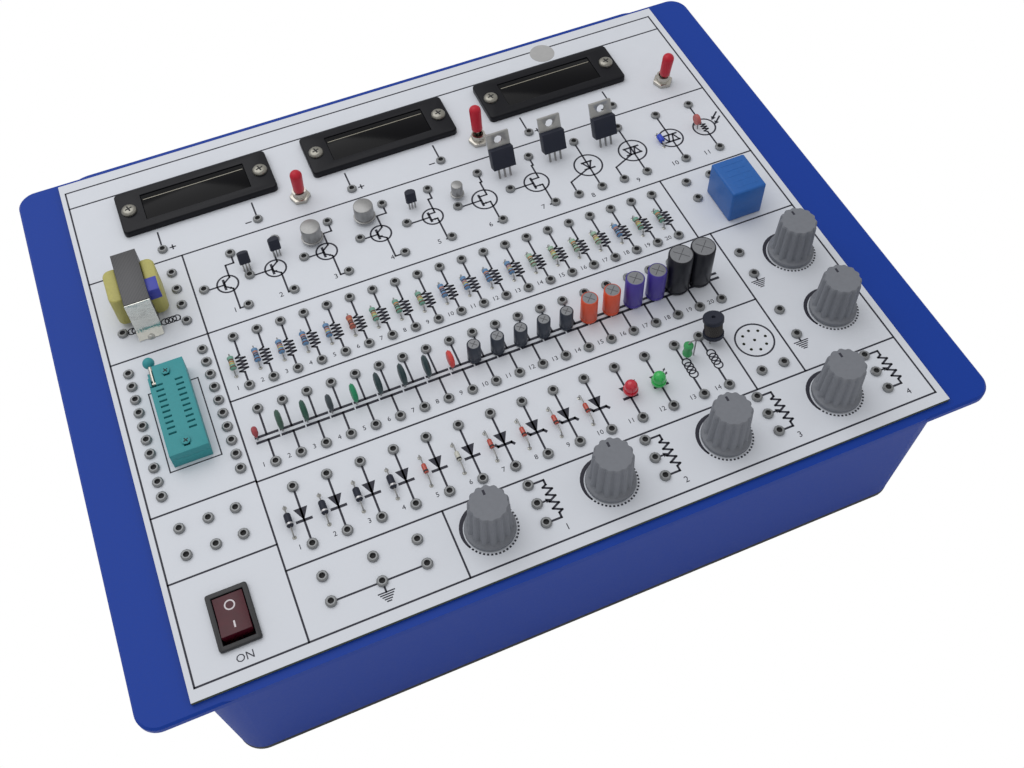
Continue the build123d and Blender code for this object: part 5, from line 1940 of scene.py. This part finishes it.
@dataclass
class TransistorPrint(Print):
    """The circled symbols of the transistor row with their index numbers."""

    name: str = "transistor_print"
    row_y: float = 83.1
    top_y: float = 68.0
    low_y: float = 97.2
    elbow_y: float = 73.2
    stroke: float = 0.75
    bases: tuple[float, ...] = (45.5, 64.8, 88.2, 112.8, 133.7, 156.9, 181.3)
    tops: tuple[float, ...] = (60.3, 79.6, 103.0, 127.6, 148.5, 171.7, 196.1)
    circles: tuple[float, ...] = (55.2, 75.6, 97.8, 121.8, 145.2, 169.0, 193.4)
    wide_circles: tuple[float, ...] = (218.1, 239.7)
    gates: tuple[float, ...] = (207.1, 228.7)
    trigger_x: float = 258.7
    cell_x: float = 275.4
    small_r: float = 4.4
    cell_r: float = 5.0
    large_r: float = 5.4
    wide_r: float = 6.2
    half: float = 2.0
    number_size: float = 2.6

    def draw(self) -> None:
        """Draws the row from left to right."""
        for number, (base, top, x) in enumerate(zip(self.bases, self.tops, self.circles), 1):
            self.three_lead(number, base, top, x)
            self.index(number, top - 5.6, 0.2)
        for number, (gate, x) in enumerate(zip(self.gates, self.wide_circles), 8):
            self.gated(gate, x, both_ways=number == 9)
            self.index(number, x - 5.4, 2.8)
        self.two_way(self.trigger_x)
        self.index(10, self.trigger_x - 5.4, 0.4)
        self.photocell(self.cell_x)
        self.index(11, self.cell_x - 6.2, 0.4)

    def index(self, number: int, x: float, drop: float) -> None:
        """Sets a number a little in front of the lower sockets' row."""
        self.text(str(number), (x, self.low_y + drop), self.number_size)

    def three_lead(self, number: int, base: float, top: float, x: float) -> None:
        """Draws a circle with a bar, its left lead and its upper and lower leads.

        Args:
            number: the transistor's number, which sets its size, its bends and its arrow.
            base: where the left socket is.
            top: where the upper and the lower socket are.
            x: the circle's middle.
        """
        y = self.row_y
        radius = self.small_r if number < 6 else self.large_r
        self.circle((x, y), radius, self.stroke, 28)
        bar_x, reach = x - 0.3 * radius, x + 0.35 * radius
        self.line([(base + self.clear, y), (bar_x, y)], self.stroke)
        self.line([(bar_x, y - 0.55 * radius), (bar_x, y + 0.55 * radius)], 1.4 * self.stroke)
        upper, lower = y - 0.72 * radius, y + 0.72 * radius
        square = number > 4
        bend = 0.4 * radius if square else 0.2 * radius
        first, last = (reach, y - bend if square else upper), (reach, y + bend if square else lower)
        self.line([(bar_x, y - bend), first, (reach, upper), (reach, self.elbow_y),
                   (top, self.elbow_y), (top, self.top_y + self.clear)], self.stroke)
        self.line([(bar_x, y + bend), last, (reach, lower), (reach, self.low_y),
                   (top - self.clear, self.low_y)], self.stroke)
        slope = atan2(last[1] - y - bend, last[0] - bar_x)
        if number % 2:
            self.arrow(last, slope, 1.5)
        else:
            self.arrow((bar_x + 0.3, y + bend), slope + pi, 1.5)

    def gated(self, gate: float, x: float, both_ways: bool) -> None:
        """Draws a circled diode with a gate lead down to its own socket.

        Args:
            gate: where the gate's socket is.
            x: the circle's middle.
            both_ways: whether it has two opposite triangles.
        """
        y = self.row_y
        self.circle((x, y), self.wide_r, self.stroke, 32)
        self.line([(x, self.top_y + self.clear), (x, self.low_y - self.clear)], self.stroke)
        self.triangles(x, both_ways)
        self.line([(x - 1.5, y + self.half), (gate, y + 6.2), (gate, self.low_y - self.clear)],
                  self.stroke)

    def triangles(self, x: float, both_ways: bool) -> None:
        """Draws one triangle, or two that point opposite ways, between two bars.

        Args:
            x: the symbol's middle.
            both_ways: whether it has two triangles.
        """
        y, half = self.row_y, self.half
        wide = 3.4 if both_ways else 2.2
        for bar in (-half, half):
            self.line([(x - wide, y + bar), (x + wide, y + bar)], 1.2 * self.stroke)
        if both_ways:
            self.line([(x - 3.2, y - half), (x - 1.7, y + half), (x - 0.2, y - half)], self.stroke)
            self.line([(x + 3.2, y + half), (x + 1.7, y - half), (x + 0.2, y + half)], self.stroke)
        else:
            self.line([(x - half, y - half), (x, y + half), (x + half, y - half)], self.stroke)

    def two_way(self, x: float) -> None:
        """Draws the trigger diode's opposite triangles in their circle.

        Args:
            x: the circle's middle.
        """
        self.circle((x, self.row_y), self.large_r, self.stroke, 28)
        self.line([(x, self.top_y + self.clear), (x, self.row_y - self.half)], self.stroke)
        self.line([(x, self.row_y + self.half), (x, self.low_y - self.clear)], self.stroke)
        self.triangles(x, both_ways=True)

    def photocell(self, x: float) -> None:
        """Draws a circled toothed line with two arrows that point at it.

        Args:
            x: the circle's middle.
        """
        y = self.row_y
        self.circle((x, y), self.cell_r, self.stroke, 28)
        teeth = [(x + (1.1 if i % 2 else -1.1), y - 3.0 + 0.75 * (i + 1)) for i in range(7)]
        self.line([(x, self.top_y + self.clear), (x, y - 3.2)] + teeth
                  + [(x, y + 3.2), (x, self.low_y - self.clear)], self.stroke)
        for shift in (0.0, 3.0):
            self.line([(x + 9.4, y - 6.2 + shift), (x + 6.6, y - 3.8 + shift)], 0.8)
            self.arrow((x + 5.0, y - 2.4 + shift), pi - 0.7, 2.6)


@dataclass
class SupplyPrint(Print):
    """The meter leads, supplies, pots, speaker ring, lever socket outline and switch mark."""

    name: str = "supply_print"
    stroke: float = 0.7
    lead_y: float = 44.0
    sign_dx: float = 4.2
    sign_half: float = 1.1
    knob_ring: float = 10.0
    dashes: int = 44
    dash: float = 0.075
    swell_from: float = pi - 0.4
    swell_to: float = 1.5 * pi + 0.5
    pot_dx: float = 6.0
    pot_inset: float = 2.0
    pot_tooth: float = 1.5
    ground_drop: float = 3.4
    fixed_drop: float = 4.0
    ground_half: float = 2.9
    ground_step: Point = (0.55, 0.85)
    speaker: Point = (237.3, 193.7)
    speaker_r: float = 7.6
    outline: tuple[float, float, float, float] = (13.3, 123.2, 32.7, 160.1)
    switch_mark: Point = (20.5, 237.8)
    winding_r: float = 1.5

    def draw(self) -> None:
        """Draws each group."""
        supply = self.panel.sockets("supply")
        self.meter_leads()
        self.knob_rings()
        self.pots([p for p in supply if p[1] > 214.0 and p[0] > 110.0])
        self.variable_grounds(supply)
        self.fixed_ground([p for p in supply if p[1] > 228.0 and p[0] < 95.0])
        self.circle(self.speaker, self.speaker_r, self.stroke, 36)
        self.box(self.outline, 0.5)
        self.text("ON", self.switch_mark, 3.0)
        self.windings((12.5, 91.0), 91.0, [13.6, 15.2])
        self.windings((33.0, 93.0), 91.6, [27.0, 28.6, 30.2, 31.8])

    def meter_leads(self) -> None:
        """Draws the leads of the three meters, with a plus and a minus sign for each."""
        leads = [p for p in self.panel.sockets("meter") if p[1] < 60.0 and p[0] > 20.0]
        half = self.sign_half
        for number, (x, y) in enumerate(leads):
            self.line([(x, y - self.clear), (x, self.lead_y)], self.stroke)
            left_lead = number % 2 == 0
            sign_x = x + (self.sign_dx if left_lead else -self.sign_dx)
            self.line([(sign_x - half, y), (sign_x + half, y)])
            if left_lead:
                self.line([(sign_x, y - half), (sign_x, y + half)])

    def knob_rings(self) -> None:
        """Draws a dashed ring round each knob, with an arc that swells towards the back left."""
        steps = 16
        radius, reach = self.knob_ring, self.swell_to - self.swell_from
        turns = [self.swell_from + reach * i / steps for i in range(steps + 1)]
        swell = [radius + (0.4 + 0.8 * sin(pi * i / steps)) for i in range(steps + 1)]
        for number in range(1, 7):
            low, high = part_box(f"knob_{number}")
            centre = self.panel.place_of((low + high) / 2)
            for dash in range(self.dashes):
                turn = 2 * pi * dash / self.dashes
                if not self.swell_from < turn < self.swell_to + 0.1:
                    self.strip(centre, [turn, turn + self.dash], 2 * [radius + 0.35],
                               radius - 0.35)
            self.strip(centre, turns, swell, radius - 0.3)

    def pots(self, places: list[Point]) -> None:
        """Draws a toothed line with a wiper arrow beside each row of three pot sockets.

        Args:
            places: the pots' sockets.
        """
        for number, x in enumerate(sorted({round(x, 1) for x, _ in places if x < 280.0}), 1):
            low, middle, high = sorted(y for px, y in places if abs(px - x) < 0.5)
            line_x, near = x + self.pot_dx, x + self.clear
            first, last = low + self.pot_inset, high - self.pot_inset
            pitch = (high - low - 2 * self.pot_inset) / 8
            teeth = [(line_x + (self.pot_tooth if i % 2 else -self.pot_tooth),
                      first + (i + 0.5) * pitch) for i in range(8)]
            self.line([(near, low), (line_x, low), (line_x, first)] + teeth
                      + [(line_x, last), (line_x, high), (near, high)], 0.8)
            self.line([(near, middle), (line_x - 2.2, middle)], 0.7)
            self.arrow((line_x - 0.6, middle), 0.0, 2.2)
            self.text(str(number), (line_x + 0.5, high + 4.2), 2.6)

    def variable_grounds(self, places: list[Point]) -> None:
        """Draws the ground symbol of each variable supply, in front of its lower socket.

        Args:
            places: the supply sockets.
        """
        column = [p for p in places if 252.8 < p[0] < 254.0 and p[1] > 140.0]
        lower = sorted(y for _, y in column)[1::2]
        for x, y in [p for p in places if 250.0 < p[0] < 255.0 and p[1] in lower]:
            self.line([(x, y + self.clear), (x, y + self.ground_drop)], self.stroke)
            self.ground((x, y + self.ground_drop))

    def fixed_ground(self, row: list[Point]) -> None:
        """Joins the row of fixed supply sockets and draws its ground symbol.

        Args:
            row: the sockets from left to right.
        """
        x, y = row[len(row) // 2]
        self.line([(row[0][0] + self.clear, y), (x - self.clear, y)], self.stroke)
        self.line([(x + self.clear, y), (row[-1][0] - self.clear, y)], self.stroke)
        self.line([(x, y + self.clear), (x, y + self.fixed_drop)], self.stroke)
        self.ground((x, y + self.fixed_drop))

    def ground(self, top: Point) -> None:
        """Draws five bars that shrink towards the front.

        Args:
            top: the middle of the longest bar.
        """
        x, y = top
        dx, dy = self.ground_step
        for row in range(5):
            half = self.ground_half - dx * row
            self.line([(x - half, y + dy * row), (x + half, y + dy * row)], 0.45)

    def windings(self, socket: Point, row: float, centres: list[float]) -> None:
        """Draws turns that show beside the transformer, and the lead to their socket.

        Args:
            socket: where the lead ends.
            row: how far the turns are from the back edge.
            centres: the middle of each turn, from left to right.
        """
        for x in centres:
            self.circle((x, row), self.winding_r, 0.5, 14)
        left, right = centres[0] - self.winding_r, centres[-1] + self.winding_r
        self.line([(left if socket[0] < centres[0] else right, row), socket], 0.5)


# Stage, camera and light


@dataclass(frozen=True)
class Studio(Part):
    """The camera of the photograph and a plain soft light."""

    eye: tuple[float, float, float] = (56.9, 393.5, 365.0)
    aim_deg: tuple[float, float, float] = (35.243, 1.778, -22.466)
    lens_mm: float = 39.97
    shift: Point = (0.0184, -0.0475)
    near_m: float = 0.01
    floor_m: float = 6.0
    world_light: float = 0.58
    lamp_watts: float = 6.0
    lamp_m: float = 1.2
    lamp_place: tuple[float, float, float] = (-0.3, 0.5, 1.1)

    def build(self) -> None:
        """Sets the floor, the light and the camera."""
        self.lay_floor()
        self.light()
        self.aim()

    def lay_floor(self) -> None:
        """Lays a pale floor under the feet."""
        bm = bmesh.new()
        bmesh.ops.create_grid(bm, x_segments=1, y_segments=1, size=self.floor_m / 2)
        mesh = bpy.data.meshes.new("floor")
        bm.to_mesh(mesh)
        bm.free()
        mesh.materials.append(self.white_paper())
        floor = bpy.data.objects.new("floor", mesh)
        bpy.context.scene.collection.objects.link(floor)
        log.info("floor: %.1f m", self.floor_m)

    def white_paper(self) -> bpy.types.Material:
        """Makes a floor finish that looks plain white to the camera and through glass.

        Returns:
            The material.
        """
        material = PAINT.get(FLOOR_WHITE)
        nodes, links = material.node_tree.nodes, material.node_tree.links
        output = nodes["Material Output"]
        shaded = output.inputs["Surface"].links[0].from_socket
        path = nodes.new("ShaderNodeLightPath")
        seen = nodes.new("ShaderNodeMath")
        seen.operation = "MAXIMUM"
        links.new(path.outputs["Is Camera Ray"], seen.inputs[0])
        links.new(path.outputs["Is Transmission Ray"], seen.inputs[1])
        glow = nodes.new("ShaderNodeEmission")
        mix = nodes.new("ShaderNodeMixShader")
        links.new(seen.outputs[0], mix.inputs[0])
        links.new(shaded, mix.inputs[1])
        links.new(glow.outputs[0], mix.inputs[2])
        links.new(mix.outputs[0], output.inputs["Surface"])
        return material

    def light(self) -> None:
        """Fills the room with pale light, which the camera sees as white, and hangs a lamp."""
        scene = bpy.context.scene
        world = bpy.data.worlds.new("room")
        scene.world = world
        world.use_nodes = True
        nodes, links = world.node_tree.nodes, world.node_tree.links
        path = nodes.new("ShaderNodeLightPath")
        strength = nodes.new("ShaderNodeMath")
        strength.operation = "MAXIMUM"
        strength.inputs[1].default_value = self.world_light
        links.new(path.outputs["Is Camera Ray"], strength.inputs[0])
        glow = nodes["Background"]
        glow.inputs["Color"].default_value = linear((255, 255, 255))
        links.new(strength.outputs[0], glow.inputs["Strength"])
        lamp = bpy.data.lights.new("lamp", "AREA")
        lamp.energy = self.lamp_watts
        lamp.size = self.lamp_m
        hung = bpy.data.objects.new("lamp", lamp)
        hung.location = self.lamp_place
        hung.rotation_euler = (-Vector(self.lamp_place)).to_track_quat("-Z", "Y").to_euler()
        scene.collection.objects.link(hung)
        scene.view_settings.view_transform = "Standard"

    def aim(self) -> None:
        """Puts the camera where the photograph was taken from."""
        camera = bpy.data.cameras.new("camera")
        camera.lens = self.lens_mm
        camera.shift_x, camera.shift_y = self.shift
        camera.clip_start = self.near_m
        view = bpy.data.objects.new("camera", camera)
        view.location = self.panel.at(*self.eye)
        view.rotation_euler = Euler([radians(a) for a in self.aim_deg])
        bpy.context.scene.collection.objects.link(view)
        bpy.context.scene.camera = view


def main() -> None:
    """Dresses every part of the trainer in order and sets the stage."""
    logging.basicConfig(level=logging.INFO, format="%(message)s")
    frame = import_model()
    panel = Panel(frame)
    for part in (Housing, BaseScrews, PatchSockets, Meters, Toggles, Transformer, Axials,
                 Capacitors, Transistors, SmallParts, Relay, LeverSocket, Rocker, Knobs, Sticker,
                 GridPrint, BankPrint, TransistorPrint, SupplyPrint, Studio):
        part(panel).build()


if __name__ == "__main__":
    main()
